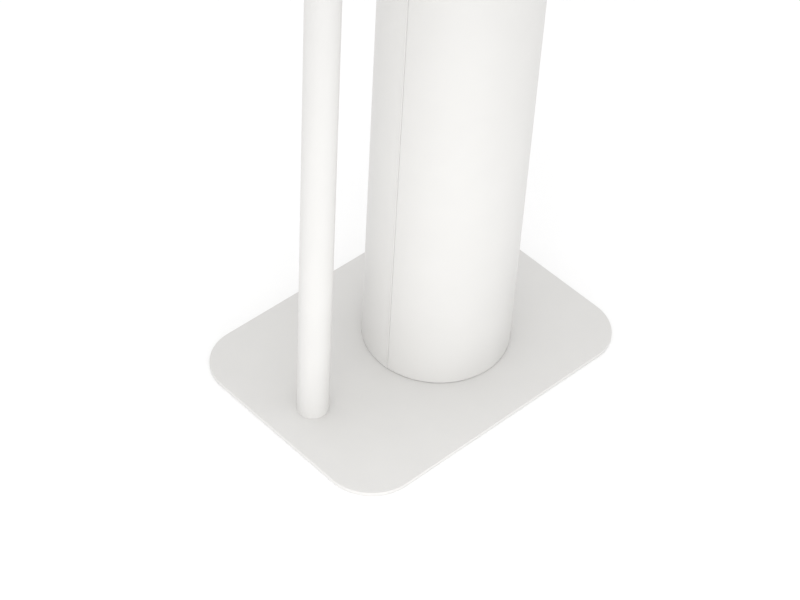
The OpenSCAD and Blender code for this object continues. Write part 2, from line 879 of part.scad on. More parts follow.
module arm_rosettes() {
    color("#f4f4f2") for (z = [arm_z0, arm_z1]) translate([0, 0, z]) difference() {
        bar_y(arm_r + 6, column_r - 6, column_r + 4);
        bar_y(arm_r + run_clear, 0, column_d);
        translate([0, 0, -column_r]) cylinder(r = column_r + run_clear, h = column_d);
    }
}

// Square corner outside a round one of radius r, for the corner at the origin
module corner_waste(r) {
    difference() {
        translate([-cut, -cut]) square(r + cut);
        translate([r, r]) circle(r = r);
    }
}

module clear_panel() {
    near_r = 14;
    far_r = arm_bend_r - arm_r - panel_gap;
    l = panel_y1 - panel_y0;
    h = panel_z1 - panel_z0;
    color("#cfe4ea", 0.4) translate([-panel_t / 2, panel_y0, panel_z0]) rotate([90, 0, 90])
        linear_extrude(panel_t) difference() {
            square([l, h]);
            corner_waste(near_r);
            translate([0, h]) mirror([0, 1]) corner_waste(near_r);
            translate([l, 0]) mirror([1, 0]) corner_waste(far_r);
            translate([l, h]) mirror([1, 0]) mirror([0, 1]) corner_waste(far_r);
        }
}

// Clip from the lower tube up to the panel's edge
module panel_clip() {
    top = arm_r + panel_gap + clip_grip;
    difference() {
        translate([-clip_w / 2, -clip_l / 2, arm_r / 2])
            cube([clip_w, clip_l, top - arm_r / 2]);
        translate([-panel_t / 2 - run_clear, -clip_l, arm_r + panel_gap])
            cube([panel_t + 2 * run_clear, 2 * clip_l, top]);
        bar_y(arm_r + press_clear, -clip_l, clip_l);
    }
}

module panel_clips() {
    color("silver") for (y = clip_ys) translate([0, y, 0]) {
        translate([0, 0, arm_z0]) panel_clip();
        translate([0, 0, arm_z1]) mirror([0, 0, 1]) panel_clip();
    }
}

// Round sign film on both faces of the panel
module panel_sign() {
    color("firebrick") for (side = [0, 1]) mirror([side, 0, 0])
        translate([0, sign_y, sign_z]) bar_x(sign_fit_r, panel_t / 2, panel_t / 2 + sign_t);
}

// ---------- top ----------

module cap_carrier() {
    color("gainsboro") difference() {
        union() {
            bar(mast_ri - press_clear, mast_top - 22, mast_top + cut);
            bar(carrier_r, mast_top, mast_top + carrier_t);
        }
        bar(mast_ri - 5, mast_top - 22 - cut, mast_top + carrier_t + cut);
        translate([key_x, 0, 0]) bar(key_body_r + seat_clear, 0, mast_top + carrier_t + cut);
        translate([0, -light_lead_r, 0]) bar(lead_d, 0, mast_top + carrier_t + cut);
        at_angles(ring_angles(3), cap_screw_r)
            bar(cap_screw_d / 2 + press_clear, 0, mast_top + carrier_t + cut);
    }
}

module light_board() {
    color("white") ring(carrier_r - 2, carrier_r - 18, mast_top - pcb_t, mast_top);
}

module light_ring() {
    color("#eef3f0") ring(column_r, column_r - light_ring_w, cap_z, mast_top + carrier_t);
}

module top_cap() {
    z0 = mast_top + carrier_t;
    wall = 4;
    color("#f4f4f2") difference() {
        translate([0, 0, z0]) rotate_extrude() {
            square([column_r, cap_h - cap_round]);
            square([column_r - cap_round, cap_h]);
            intersection() {
                translate([column_r - cap_round, cap_h - cap_round]) circle(r = cap_round);
                square([column_r, cap_h]);
            }
        }
        difference() {
            bar(column_r - 9, z0 - cut, z0 + cap_h - wall);
            at_angles(ring_angles(3), cap_screw_r) bar(7, z0 - 2 * cut, z0 + cap_h);
        }
        translate([key_x, 0, 0]) bar(key_body_r + run_clear, z0 - cut, z0 + cap_h + cut);
        translate([0, 0, z0 + cap_h]) at_angles(ring_angles(3), cap_screw_r)
            flat_head_seat(cap_screw_d, cap_h + cut);
    }
}

module cap_screws() {
    color("silver") translate([0, 0, cap_top]) at_angles(ring_angles(3), cap_screw_r)
        flat_head_screw(cap_screw_d, cap_h + carrier_t - 1);
}

module key_switch_body() {
    color("silver") translate([key_x, 0, 0]) difference() {
        union() {
            bar(key_body_r, mast_top - 11, cap_top + cut);
            bar(key_body_r + 3, cap_top, cap_top + key_proud);
        }
        bar(key_r + run_clear, mast_top + 2, cap_top + key_proud + cut);
    }
}

module key_cylinder() {
    top = cap_top + key_proud;
    color("gainsboro") translate([key_x, 0, 0]) difference() {
        bar(key_r, mast_top + 2 + run_clear, top);
        translate([-0.8, -4, top - 8]) cube([1.6, 8, 8 + cut]);
    }
}

// ---------- leads ----------

module motor_lead() {
    color("#202020") sweep(bent_route([[0, motor_y, brake_z], [0, motor_y, light_port_z - 8],
        [motor_lead_x, motor_y, light_port_z - 8],
        [motor_lead_x, motor_y, pcb_z0 + pcb_h]], lead_bend), lead_d / 2);
}

module light_lead() {
    y0 = panel_face_y - board_panel_t - standoff - 6;
    over = mast_top + carrier_t + 4;
    color("#202020") sweep(bent_route([[light_lead_x, y0, pcb_z0 + pcb_h],
        [light_lead_x, y0, light_port_z], [light_lead_x, -mast_r - 7, light_port_z],
        [0, -mast_r - 7, light_port_z], [0, -mast_ri + 8, light_port_z],
        [0, -mast_ri + 8, over], [0, -light_lead_r, over], [0, -light_lead_r, mast_top]],
        lead_bend - 1), lead_d / 2);
}

module scanner_lead() {
    y1 = panel_face_y - board_panel_t - standoff - 6;
    color("#202020") sweep(bent_route([[lead_x, 0, post_top], [lead_x, 0, groove_z],
        [entry_x, 0, groove_z], [entry_x, 0, port_z], [board_lead_x, 0, port_z],
        [board_lead_x, y1, port_z], [board_lead_x, y1, pcb_z0 + 2]], lead_bend), lead_d / 2);
}

// ---------- scanner post and head ----------

module scanner_post() {
    color("#f4f4f2") translate([post_x, 0, 0]) ring(post_r, post_ri, plate_t, post_top);
}

module post_plug() {
    color("silver") difference() {
        translate([post_x, 0, 0]) bar(post_ri - press_clear, plate_t, plate_t + plug_h);
        translate([post_x, 0, 0]) bar(foot_screw_d / 2 + press_clear, 0, plate_t + plug_h - 6);
        translate([lead_x, 0, 0]) bar(lead_d / 2 + 1.4, 0, plate_t + plug_h + cut);
    }
}

module post_screw() {
    color("silver") translate([post_x, 0, 0]) mirror([0, 0, 1])
        flat_head_screw(foot_screw_d, plate_t + plug_h - 10);
}

module tilt_yoke() {
    base = post_top + yoke_t;
    spigot_l = 30;
    color("gainsboro") translate([post_x, 0, 0]) difference() {
        union() {
            bar(post_ri - press_clear, post_top - spigot_l, post_top + cut);
            bar(post_r, post_top, base);
            intersection() {
                bar(post_r, base - cut, pivot_z + ear_w);
                union() {
                    translate([-ear_w / 2, -post_r, base - cut])
                        cube([ear_w, post_d, pivot_z - base + cut]);
                    translate([0, 0, pivot_z]) bar_y(ear_w / 2, -post_r, post_r);
                }
            }
        }
        bar(post_ri - 2.1, post_top - spigot_l - cut, post_top);
        translate([-post_r, -post_r + ear_t, base])
            cube([post_d, post_d - 2 * ear_t, pivot_z + ear_w]);
        translate([0, 0, pivot_z]) {
            bar_y(pivot_r + press_clear, -post_d, post_d);
            for (side = [0, 1]) mirror([0, side, 0])
                bar_y(pivot_head_r + seat_clear, post_r - pivot_head_h, post_d);
        }
    }
}

module tilt_bolt() {
    seat = post_r - pivot_head_h;
    color("silver") translate([post_x, 0, pivot_z]) {
        bar_y(pivot_r, -seat - 1, seat + 1);
        for (side = [0, 1]) mirror([0, side, 0])
            bar_y(pivot_head_r, seat, seat + pivot_head_h - 0.5);
    }
}

// Frame of the scanner head: Z out of the window, X up its slope
module in_head() {
    translate([post_x, 0, pivot_z]) rotate([0, head_slope - 90, 0]) children();
}

module head_slab(inset, z0, z1) {
    translate([0, 0, z0]) linear_extrude(z1 - z0)
        round_rect(head_h - 2 * inset, head_w - 2 * inset, head_corner - inset);
}

module scanner_rear_shell() {
    color("#f4f4f2") in_head() difference() {
        union() {
            head_slab(0, head_gap, head_gap + head_rear);
            translate([-knuckle_r, -knuckle_half, 0])
                cube([2 * knuckle_r, 2 * knuckle_half, head_gap + cut]);
            bar_y(knuckle_r, -knuckle_half, knuckle_half);
        }
        head_slab(head_wall, head_gap + head_wall, head_gap + head_rear + cut);
        bar_y(pivot_r + run_clear, -head_w, head_w);
    }
}

module scanner_front() {
    z0 = head_gap + head_rear;
    z1 = z0 + head_front;
    color("#3a3d40") in_head() difference() {
        head_slab(0, z0, z1);
        head_slab(head_wall, z0 - cut, z1 - bezel_t);
        translate([window_x, 0, z0]) linear_extrude(head_front + cut)
            round_rect(window_h, window_w, window_corner);
        translate([lamp_x, 0, z0]) linear_extrude(head_front + cut)
            round_rect(lamp_h, lamp_w, lamp_h / 2 - 0.1);
    }
}

module scan_window() {
    z1 = head_gap + head_rear + head_front - bezel_t;
    color("#401018") in_head() translate([window_x, 0, z1 - window_t]) linear_extrude(window_t)
        round_rect(window_h + 6, window_w + 8, window_corner);
}

module scanner_lamp() {
    z1 = head_gap + head_rear + head_front;
    color("palegreen") in_head() translate([lamp_x, 0, z1 - bezel_t - 2])
        linear_extrude(bezel_t + 2.4)
            round_rect(lamp_h - 2 * run_clear, lamp_w - 2 * run_clear, lamp_h / 2 - 0.2);
}

module scan_engine() {
    z0 = head_gap + head_wall;
    color("seagreen") in_head() {
        for (x = [-1, 1], y = [-1, 1])
            translate([x * (head_h / 2 - 14), y * (head_w / 2 - 14), 0]) bar(3, z0, z0 + 3);
        head_slab(8, z0 + 2.9, z0 + 4.5);
        translate([window_x - 15, -20, z0 + 4.4]) cube([30, 40, 16]);
        translate([lamp_x - 2, -lamp_w / 2 + 3, z0 + 4.4]) cube([4, lamp_w - 6, 3]);
    }
}

base_plate();
foot_screws();
groove_cover();
cable_grommet();
mast();
foot_ring();
lower_bulkhead();
fixed_shell();
service_cover();
shell_screws();
cover_studs();
cover_clips();
panel_brackets();
electronics_panel();
power_supply();
control_board();
drive_plate();
gearbox();
motor();
motor_brake();
motor_screws();
bump_stops();
bearing_collars();
bearing_inner_rings();
bearing_balls();
cap_carrier();
light_board();
light_ring();
top_cap();
cap_screws();
key_switch_body();
motor_lead();
light_lead();
scanner_lead();
scanner_post();
post_plug();
post_screw();
tilt_yoke();
tilt_bolt();
key_cylinder();
motor_shaft();
drive_pinion();
bearing_outer_rings();
lower_hub();
main_gear();
gear_screws();
upper_hub();
turning_sleeve();
sleeve_screws();
arm_bracket();
arm_loop();
arm_rosettes();
clear_panel();
panel_clips();
panel_sign();
scanner_rear_shell();
scanner_front();
scan_window();
scanner_lamp();
scan_engine();
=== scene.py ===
# %% [markdown]
# # A self-checkout exit gate, finished in Blender
# The gate stands at the way out of a shop's self-checkout. A shopper shows the receipt to the
# scanner on the slim post, and the arm on the wide column swings open. Everything is a few
# round steel shapes under one white coat, so the look depends on clean edges, thin seams and
# the soft way in which a powder coat takes the light. The CAD model is loaded first as a fixed
# frame. Every piece made here takes its place and its size from that frame.

# %% Load the frame
import json
from math import asin, cos, pi, radians, sin

import bmesh
import bpy
from mathutils import Matrix, Vector

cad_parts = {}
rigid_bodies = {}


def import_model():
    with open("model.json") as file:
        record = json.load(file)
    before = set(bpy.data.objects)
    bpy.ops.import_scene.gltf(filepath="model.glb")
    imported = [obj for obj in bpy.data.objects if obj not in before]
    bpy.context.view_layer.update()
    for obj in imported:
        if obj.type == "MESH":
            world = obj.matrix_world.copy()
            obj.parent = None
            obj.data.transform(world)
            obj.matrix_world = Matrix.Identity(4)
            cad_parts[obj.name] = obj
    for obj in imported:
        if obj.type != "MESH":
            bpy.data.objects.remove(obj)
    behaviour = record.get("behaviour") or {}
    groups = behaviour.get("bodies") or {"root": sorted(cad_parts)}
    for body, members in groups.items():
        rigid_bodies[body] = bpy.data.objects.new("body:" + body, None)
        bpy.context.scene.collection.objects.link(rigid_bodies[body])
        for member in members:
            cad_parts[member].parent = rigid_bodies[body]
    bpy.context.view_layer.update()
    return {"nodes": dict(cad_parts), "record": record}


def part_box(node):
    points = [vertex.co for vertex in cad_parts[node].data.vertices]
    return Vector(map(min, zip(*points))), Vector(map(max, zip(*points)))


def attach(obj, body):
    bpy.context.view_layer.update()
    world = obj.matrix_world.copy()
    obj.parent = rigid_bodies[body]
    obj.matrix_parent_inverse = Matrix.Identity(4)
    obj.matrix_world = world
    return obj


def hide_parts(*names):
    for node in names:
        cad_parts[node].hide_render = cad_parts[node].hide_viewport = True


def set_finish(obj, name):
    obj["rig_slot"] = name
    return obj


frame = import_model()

# %% [markdown]
# ## Sizes
# Sizes are read from the boxes of the CAD nodes, so a piece can't drift from the part that it
# stands for. One millimetre is written as MM, because drawings give such things in millimetres
# and Blender works in metres.

# %% Sizes read from the frame
MM = 0.001
TURN = 2 * pi


def span(node, axis):
    """Lowest and highest place of a CAD node along an axis: 0 is X, 1 is Y, 2 is Z."""
    low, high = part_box(node)
    return low[axis], high[axis]


column_r = span("service_cover", 1)[0] * -1
sheet = 1.5 * MM
shell_z = span("fixed_shell", 2)
sleeve_z = span("turning_sleeve", 2)
post_low, post_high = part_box("scanner_post")
post_x = (post_low.x + post_high.x) / 2
post_r = (post_high.x - post_low.x) / 2
plate_low, plate_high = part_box("base_plate")
plate_t = plate_high.z
print("column", round(column_r / MM, 2), "post", round(post_r / MM, 2), "at", round(post_x / MM, 2))

# %% [markdown]
# ## Helpers for modelling
# Each helper is one habit of modelling by hand: add a primitive with nothing else selected, go
# into edit mode, select a few edges or faces by where they are, run an operator, and apply a
# modifier. Nothing depends on what was selected before.

# %% Adding and editing a piece
def add(name, primitive, **settings):
    """Adds a primitive on its own and puts its place into its mesh."""
    bpy.ops.object.select_all(action="DESELECT")
    primitive(**settings)
    obj = bpy.context.active_object
    obj.name = obj.data.name = name
    bpy.ops.object.transform_apply(location=True, rotation=True, scale=True)
    return obj


def block(name, low, high):
    """A box between two corners, the start of most square pieces."""
    low, high = Vector(low), Vector(high)
    return add(name, bpy.ops.mesh.primitive_cube_add, size=1, location=(low + high) / 2,
               scale=high - low)


def rod(name, radius, start, end, sides=96):
    """A round bar from one point to another."""
    start, end = Vector(start), Vector(end)
    turn = (end - start).to_track_quat("Z", "Y").to_euler()
    return add(name, bpy.ops.mesh.primitive_cylinder_add, vertices=sides, radius=radius,
               depth=(end - start).length, location=(start + end) / 2, rotation=turn)


def edit(obj):
    """Enters edit mode on this piece alone, with nothing selected."""
    bpy.ops.object.select_all(action="DESELECT")
    bpy.context.view_layer.objects.active = obj
    obj.select_set(True)
    bpy.ops.object.mode_set(mode="EDIT")
    bpy.ops.mesh.select_mode(type="VERT")
    bpy.ops.mesh.select_all(action="DESELECT")


def leave():
    bpy.ops.object.mode_set(mode="OBJECT")


# %% Selecting by place
def choose(kind, test):
    """Selects vertices, edges or faces of the piece in edit mode for which the test holds."""
    bpy.ops.mesh.select_mode(type={"verts": "VERT", "edges": "EDGE", "faces": "FACE"}[kind])
    bpy.ops.mesh.select_all(action="DESELECT")
    mesh = bmesh.from_edit_mesh(bpy.context.edit_object.data)
    chosen = [part for part in getattr(mesh, kind) if test(part)]
    for part in chosen:
        part.select_set(True)
    mesh.select_flush_mode()
    bmesh.update_edit_mesh(bpy.context.edit_object.data)
    return len(chosen)


def middle(edge):
    return (edge.verts[0].co + edge.verts[1].co) / 2


def runs_along(edge, axis):
    """Whether an edge runs along one axis: 0 is X, 1 is Y, 2 is Z."""
    way = edge.verts[1].co - edge.verts[0].co
    return abs(way[axis]) > 0.999 * way.length


def near(a, b, slack=0.02 * MM):
    return abs(a - b) < slack


# %% Finishing a piece
def modify(obj, kind, **settings):
    """Adds a modifier, sets it and applies it."""
    bpy.ops.object.select_all(action="DESELECT")
    bpy.context.view_layer.objects.active = obj
    obj.select_set(True)
    modifier = obj.modifiers.new(kind.title(), kind)
    for key, value in settings.items():
        setattr(modifier, key, value)
    bpy.ops.object.modifier_apply(modifier=modifier.name)


def carve(obj, cutters, operation="DIFFERENCE"):
    """Cuts other shapes out of a piece, or joins them to it, and removes them."""
    for cutter in cutters:
        modify(obj, "BOOLEAN", object=cutter, operation=operation, solver="EXACT")
        bpy.data.objects.remove(cutter)


def soften(obj, width, segments=3, angle=35):
    """Rounds every sharp edge by a small radius, as a coat or a deburring does."""
    modify(obj, "BEVEL", width=width, segments=segments, limit_method="ANGLE",
           angle_limit=radians(angle), use_clamp_overlap=True)


def smooth(obj, angle=32):
    bpy.ops.object.select_all(action="DESELECT")
    bpy.context.view_layer.objects.active = obj
    obj.select_set(True)
    bpy.ops.object.shade_smooth_by_angle(angle=radians(angle))


def outwards(obj):
    """Merges doubles and points every face of a closed piece outwards."""
    edit(obj)
    bpy.ops.mesh.select_all(action="SELECT")
    bpy.ops.mesh.remove_doubles(threshold=0.001 * MM)
    bpy.ops.mesh.normals_make_consistent(inside=False)
    leave()


def copy_of(obj, name, turn=None):
    """A copy with its own mesh, put where it belongs by a matrix."""
    twin = obj.copy()
    twin.data = obj.data.copy()
    twin.name = twin.data.name = name
    bpy.context.scene.collection.objects.link(twin)
    twin.data.transform(turn or Matrix.Identity(4))
    return twin


# %% Turning an outline about an axis
def turned(name, outline, x=0.0, y=0.0, steps=128):
    """Draws a closed outline of (radius, height) points and spins it about an upright axis."""
    obj = add(name, bpy.ops.mesh.primitive_plane_add, size=MM)
    edit(obj)
    bpy.ops.mesh.select_all(action="SELECT")
    bpy.ops.mesh.merge(type="CENTER")
    spots = [Vector((x + r, y, z)) for r, z in outline]
    bpy.ops.transform.translate(value=spots[0])
    for before, after in zip(spots, spots[1:] + spots[:1]):
        bpy.ops.mesh.extrude_region_move(TRANSFORM_OT_translate={"value": after - before})
    bpy.ops.mesh.select_all(action="SELECT")
    bpy.ops.mesh.remove_doubles(threshold=0.001 * MM)
    bpy.ops.mesh.spin(steps=steps, angle=TURN, center=(x, y, 0), axis=(0, 0, 1))
    leave()
    outwards(obj)
    return obj


def round_corner(r, z, radius, start, steps=5):
    """Points of a quarter round about (r, z), from the angle start, a quarter turn onwards."""
    return [(r + radius * cos(start + i * pi / 2 / steps), z + radius * sin(start + i * pi / 2 / steps))
            for i in range(steps + 1)]


print("helpers ready")

# %% [markdown]
# ## The base plate
# On the real gate this is one laser-cut steel plate, 5 mm thick, with wide round corners. It
# stands on the floor and carries both the column and the post. It could be drawn as a curve and
# filled, but a cube with its four upright edges bevelled is the same shape with fewer steps, and
# the small rim that catches the light comes from a second bevel. Its holes are cut from below,
# where the screws, the lead's groove and the cable entry are.

# %% Base plate
plate_corner, plate_rim = 54 * MM, 0.7 * MM
plate = block("floor_plate", plate_low, plate_high)
edit(plate)
choose("edges", lambda e: runs_along(e, 2))
bpy.ops.mesh.bevel(offset=plate_corner, segments=28, affect="EDGES")
choose("edges", lambda e: near(middle(e).z, plate_high.z) or near(middle(e).z, plate_low.z))
bpy.ops.mesh.bevel(offset=plate_rim, segments=4, affect="EDGES")
leave()
print("plate blank with", len(plate.data.polygons), "faces")

# %% [markdown]
# A countersunk screw goes up through the plate at five places, and four floor anchors go down
# through it. Each hole is a plain turned shape, so it is made once and copied around its pitch
# circle.

# %% Holes in the base plate
def countersunk(name, d, length, extra=0.0):
    """A countersunk screw's shape with its head's face at the origin and its shank upwards."""
    head, shank = d + extra, d / 2 + extra
    land = 0.2 * MM
    sink = land + d / 2
    outline = [(0, -extra), (head, -extra), (head, land), (shank, sink), (shank, length),
               (0, length)]
    return turned(name, outline, steps=48)


def around(radius, degrees):
    return Vector((radius * cos(radians(degrees)), radius * sin(radians(degrees)), 0))


FOUR_CORNERS = (45, 135, 225, 315)
foot_circle, anchor_circle = 36 * MM, 52 * MM
foot_d, anchor_hole_r = 8 * MM, 5.5 * MM
entry_r, entry_seat_r, entry_seat_t = 11.05 * MM, 14.3 * MM, 2 * MM
groove_top = 3.6 * MM
play = 0.2 * MM
screw_spots = [around(foot_circle, a) for a in FOUR_CORNERS] + [Vector((post_x, 0, 0))]
anchor_spots = [around(anchor_circle, a) for a in FOUR_CORNERS]
groove_low, groove_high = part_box("groove_cover")
holes = [rod("hole", anchor_hole_r, spot - Vector((0, 0, MM)), spot + Vector((0, 0, 2 * plate_t)), 48)
         for spot in anchor_spots]
seat = countersunk("seat", foot_d, 12 * MM, play)
holes += [copy_of(seat, "hole", Matrix.Translation(spot)) for spot in screw_spots]
bpy.data.objects.remove(seat)
holes += [rod("hole", entry_r, (0, 0, -MM), (0, 0, 2 * plate_t)),
          rod("hole", entry_seat_r, (0, 0, -MM), (0, 0, entry_seat_t)),
          block("hole", groove_low - Vector((play, play, 1.1 * MM)),
                (groove_high.x + play, groove_high.y + play, groove_top))]
carve(plate, holes)
smooth(plate)
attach(plate, "stand")
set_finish(plate, "white_powder_coat")
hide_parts("base_plate")
print("base plate", [round(v / MM, 1) for v in plate.dimensions], "mm with",
      len(plate.data.polygons), "faces")

# %% [markdown]
# ## The column's two sheets
# The column is rolled from 1.5 mm steel sheet in two halves. The fixed half has its two upright
# edges folded inwards, and the cover is lifted off to reach the electronics. The line that runs
# up the column is where they meet: on one side a folded shoulder, made 0.8 mm proud here so that
# it catches the light, on the other the cover's cut edge, and between them a hairline gap. So
# each half is a bent sheet with a real thickness. A vertex is spun into an arc, drawn up into a
# wall, and thickened inwards. Blender's spin turns clockwise about its axis here, so the axis
# points down.

# %% A rolled sheet
seam = radians(6.5)
seam_gap = asin(0.3 * MM / column_r)


def rolled_sheet(name, start, stop, fold=0.0, fold_radius=0.0, bead=0.0):
    """An upright sheet bent around the Z axis. A fold turns its edges in, with a bead at each."""
    obj = add(name, bpy.ops.mesh.primitive_plane_add, size=MM)
    edit(obj)
    bpy.ops.mesh.select_all(action="SELECT")
    bpy.ops.mesh.merge(type="CENTER")
    to_start = Vector((cos(start), sin(start), 0))
    bpy.ops.transform.translate(value=to_start * column_r + Vector((0, 0, shell_z[0])))
    bpy.ops.mesh.spin(steps=144, angle=stop - start, center=(0, 0, 0), axis=(0, 0, -1))
    if fold:
        for angle in (start, stop):
            out = Vector((cos(angle), sin(angle), 0))
            choose("verts", lambda v: (v.co.xy - out.xy * column_r).length < 0.01 * MM)
            bpy.ops.transform.translate(value=out * bead)
            bpy.ops.mesh.extrude_region_move(TRANSFORM_OT_translate={"value": out * -fold})
    bpy.ops.mesh.select_all(action="SELECT")
    rise = shell_z[1] - shell_z[0]
    bpy.ops.mesh.extrude_region_move(TRANSFORM_OT_translate={"value": (0, 0, rise)})
    if fold:
        corners = [Vector((cos(a), sin(a))) * (column_r + bead) for a in (start, stop)]
        choose("edges", lambda e: runs_along(e, 2)
               and min((middle(e).xy - c).length for c in corners) < 0.01 * MM)
        bpy.ops.mesh.bevel(offset=fold_radius, segments=6, affect="EDGES")
    bpy.ops.mesh.select_all(action="SELECT")
    bpy.ops.mesh.normals_make_consistent(inside=False)
    leave()
    outer_face = max(obj.data.polygons, key=lambda f: f.center.xy.length)
    if outer_face.normal.xy.dot(outer_face.center.xy) < 0:
        obj.data.flip_normals()
    modify(obj, "SOLIDIFY", thickness=sheet, offset=-1, use_even_offset=True)
    return obj


# %% The fixed half and the cover
shell = rolled_sheet("column_shell", -seam, pi + seam, fold=10 * MM, fold_radius=1.3 * MM,
                     bead=0.8 * MM)
screw_heights = [12 * MM, shell_z[1] - 27 * MM]
shell_screw_spots = [(a, z) for z in screw_heights for a in (65, 115)]


def screw_holes(spots):
    """Cutters for the screws that go into the column from the side."""
    return [rod("hole", 2.2 * MM, around(column_r - 6 * MM, a) + Vector((0, 0, z)),
                around(column_r + 2 * MM, a) + Vector((0, 0, z)), 24)
            for a, z in spots]


carve(shell, screw_holes(shell_screw_spots))
soften(shell, 0.25 * MM, 2, 60)
smooth(shell)
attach(shell, "stand")
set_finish(shell, "white_powder_coat")
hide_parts("fixed_shell")

cover = rolled_sheet("column_cover", pi + seam + seam_gap, TURN - seam - seam_gap)
soften(cover, 0.2 * MM, 2, 60)
smooth(cover)
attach(cover, "stand")
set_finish(cover, "white_powder_coat")
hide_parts("service_cover")
print("column sheets from", round(shell_z[0] / MM, 1), "to", round(shell_z[1] / MM, 1), "mm")

# %% [markdown]
# ## The post
# The post is a plain 35 mm tube that stands on the plate. A tube is an outline with two walls,
# turned about its axis. Its ends are rounded a little, as a tube is after it is cut and
# deburred, and that puts a fine dark line where it meets the plate.

# %% Post
post_wall, post_rim = 2 * MM, 0.4 * MM


def ringed(name, inner, outer, z0, z1, rim, rim_steps, **settings):
    """A tube with square inner edges and its two outer edges rounded."""
    outline = ([(inner, z1), (inner, z0)]
               + round_corner(outer - rim, z0 + rim, rim, -pi / 2, rim_steps)
               + round_corner(outer - rim, z1 - rim, rim, 0, rim_steps))
    return turned(name, outline, **settings)


post = ringed("post_tube", post_r - post_wall, post_r, post_low.z, post_high.z, post_rim, 3, x=post_x)
smooth(post)
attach(post, "stand")
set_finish(post, "white_powder_coat")
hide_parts("scanner_post")
print("post", round((post_high.z - post_low.z) / MM, 1), "mm tall")

# %% [markdown]
# ## The turning sleeve and its rosettes
# Above the fixed column a sleeve of the same diameter turns with the arm, so that the column
# looks like one tube with a thin line around it. It is turned from an outline like the post's,
# and bored for the two tubes of the arm and for its six screws. A rosette covers the edge of
# each bore. It is a disc with a rounded rim, cut on its inner side to the curve of the sleeve.

# %% Sleeve
sleeve = ringed("sleeve_tube", column_r - sheet, column_r, *sleeve_z, 0.5 * MM, 3, steps=192)
arm_low, arm_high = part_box("arm_loop")
arm_r = (arm_high.x - arm_low.x) / 2
arm_heights = [arm_low.z + arm_r, arm_high.z - arm_r]
hub_heights = [(span(hub, 2)[1] - 4 * MM) for hub in ("lower_hub", "upper_hub")]
sleeve_screw_spots = [(a, z) for z in hub_heights for a in (30, 150, 270)]
bores = [rod("bore", arm_r + 0.3 * MM, (0, 60 * MM, z), (0, 100 * MM, z)) for z in arm_heights]
carve(sleeve, bores + screw_holes(sleeve_screw_spots))
smooth(sleeve)
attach(sleeve, "arm")
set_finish(sleeve, "white_powder_coat")
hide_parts("turning_sleeve")
print("sleeve from", round(sleeve_z[0] / MM, 1), "to", round(sleeve_z[1] / MM, 1), "mm")

# %% Rosettes
rosette_rim, rosette_front = 6 * MM, column_r + 4 * MM
low_arm = arm_heights[0]
rosette = rod("arm_rosette_low", arm_r + rosette_rim, (0, column_r - 6 * MM, low_arm),
              (0, rosette_front, low_arm))
edit(rosette)
choose("edges", lambda e: near(middle(e).y, rosette_front))
bpy.ops.mesh.bevel(offset=2.2 * MM, segments=5, affect="EDGES")
leave()
carve(rosette, [rod("bore", arm_r + 0.05 * MM, (0, 0, low_arm), (0, 0.1, low_arm)),
                rod("curve", column_r + 0.05 * MM, (0, 0, low_arm - 0.05), (0, 0, low_arm + 0.05), 256)])
smooth(rosette)
upper = copy_of(rosette, "arm_rosette_high",
                Matrix.Translation((0, 0, arm_heights[1] - arm_heights[0])))
for piece in (rosette, upper):
    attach(piece, "arm")
    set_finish(piece, "white_powder_coat")
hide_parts("arm_rosettes")
print("2 rosettes at", [round(z / MM, 1) for z in arm_heights], "mm")

# %% [markdown]
# ## The arm's loop
# The arm is one tube of 25 mm, bent twice so that both of its ends go into the column. A curve
# with a bevel depth would do, but a circle that is extruded along the straights and spun
# through the bends gives even rings, a true bend radius and a clean wall.

# %% Arm loop
bend_r = 60 * MM
far = arm_high.y - arm_r
straight = far - bend_r
loop = add("arm_tube", bpy.ops.mesh.primitive_circle_add, vertices=64, radius=arm_r,
           location=(0, arm_low.y, arm_heights[0]), rotation=(pi / 2, 0, 0))
edit(loop)
bpy.ops.mesh.select_all(action="SELECT")
bpy.ops.mesh.extrude_region_move(TRANSFORM_OT_translate={"value": (0, straight - arm_low.y, 0)})
bpy.ops.mesh.spin(steps=20, angle=pi / 2, center=(0, straight, arm_heights[0] + bend_r),
                  axis=(-1, 0, 0))
drop = arm_heights[1] - arm_heights[0] - 2 * bend_r
bpy.ops.mesh.extrude_region_move(TRANSFORM_OT_translate={"value": (0, 0, drop)})
bpy.ops.mesh.spin(steps=20, angle=pi / 2, center=(0, straight, arm_heights[1] - bend_r),
                  axis=(-1, 0, 0))
bpy.ops.mesh.extrude_region_move(TRANSFORM_OT_translate={"value": (0, arm_low.y - straight, 0)})
leave()
outwards(loop)
modify(loop, "SOLIDIFY", thickness=1.5 * MM, offset=-1, use_even_offset=True)
smooth(loop)
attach(loop, "arm")
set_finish(loop, "white_powder_coat")
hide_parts("arm_loop")
print("arm tube reaches", round(max(v.co.y for v in loop.data.vertices) / MM, 1), "mm")

# %% [markdown]
# ## The clear panel and its clips
# A 5 mm acrylic sheet fills the loop, so that nobody ducks through it. Acrylic is sawn and its
# edges are flame polished, which leaves a small bright round on every edge. The panel is a cube
# with its four corners bevelled, wide at the far end, where they follow the tube's bends, and
# small near the column. Weighted normals keep its two large faces optically flat, so that the
# view through them is straight. Six clips hold it. One clip is modelled and copied to its places.

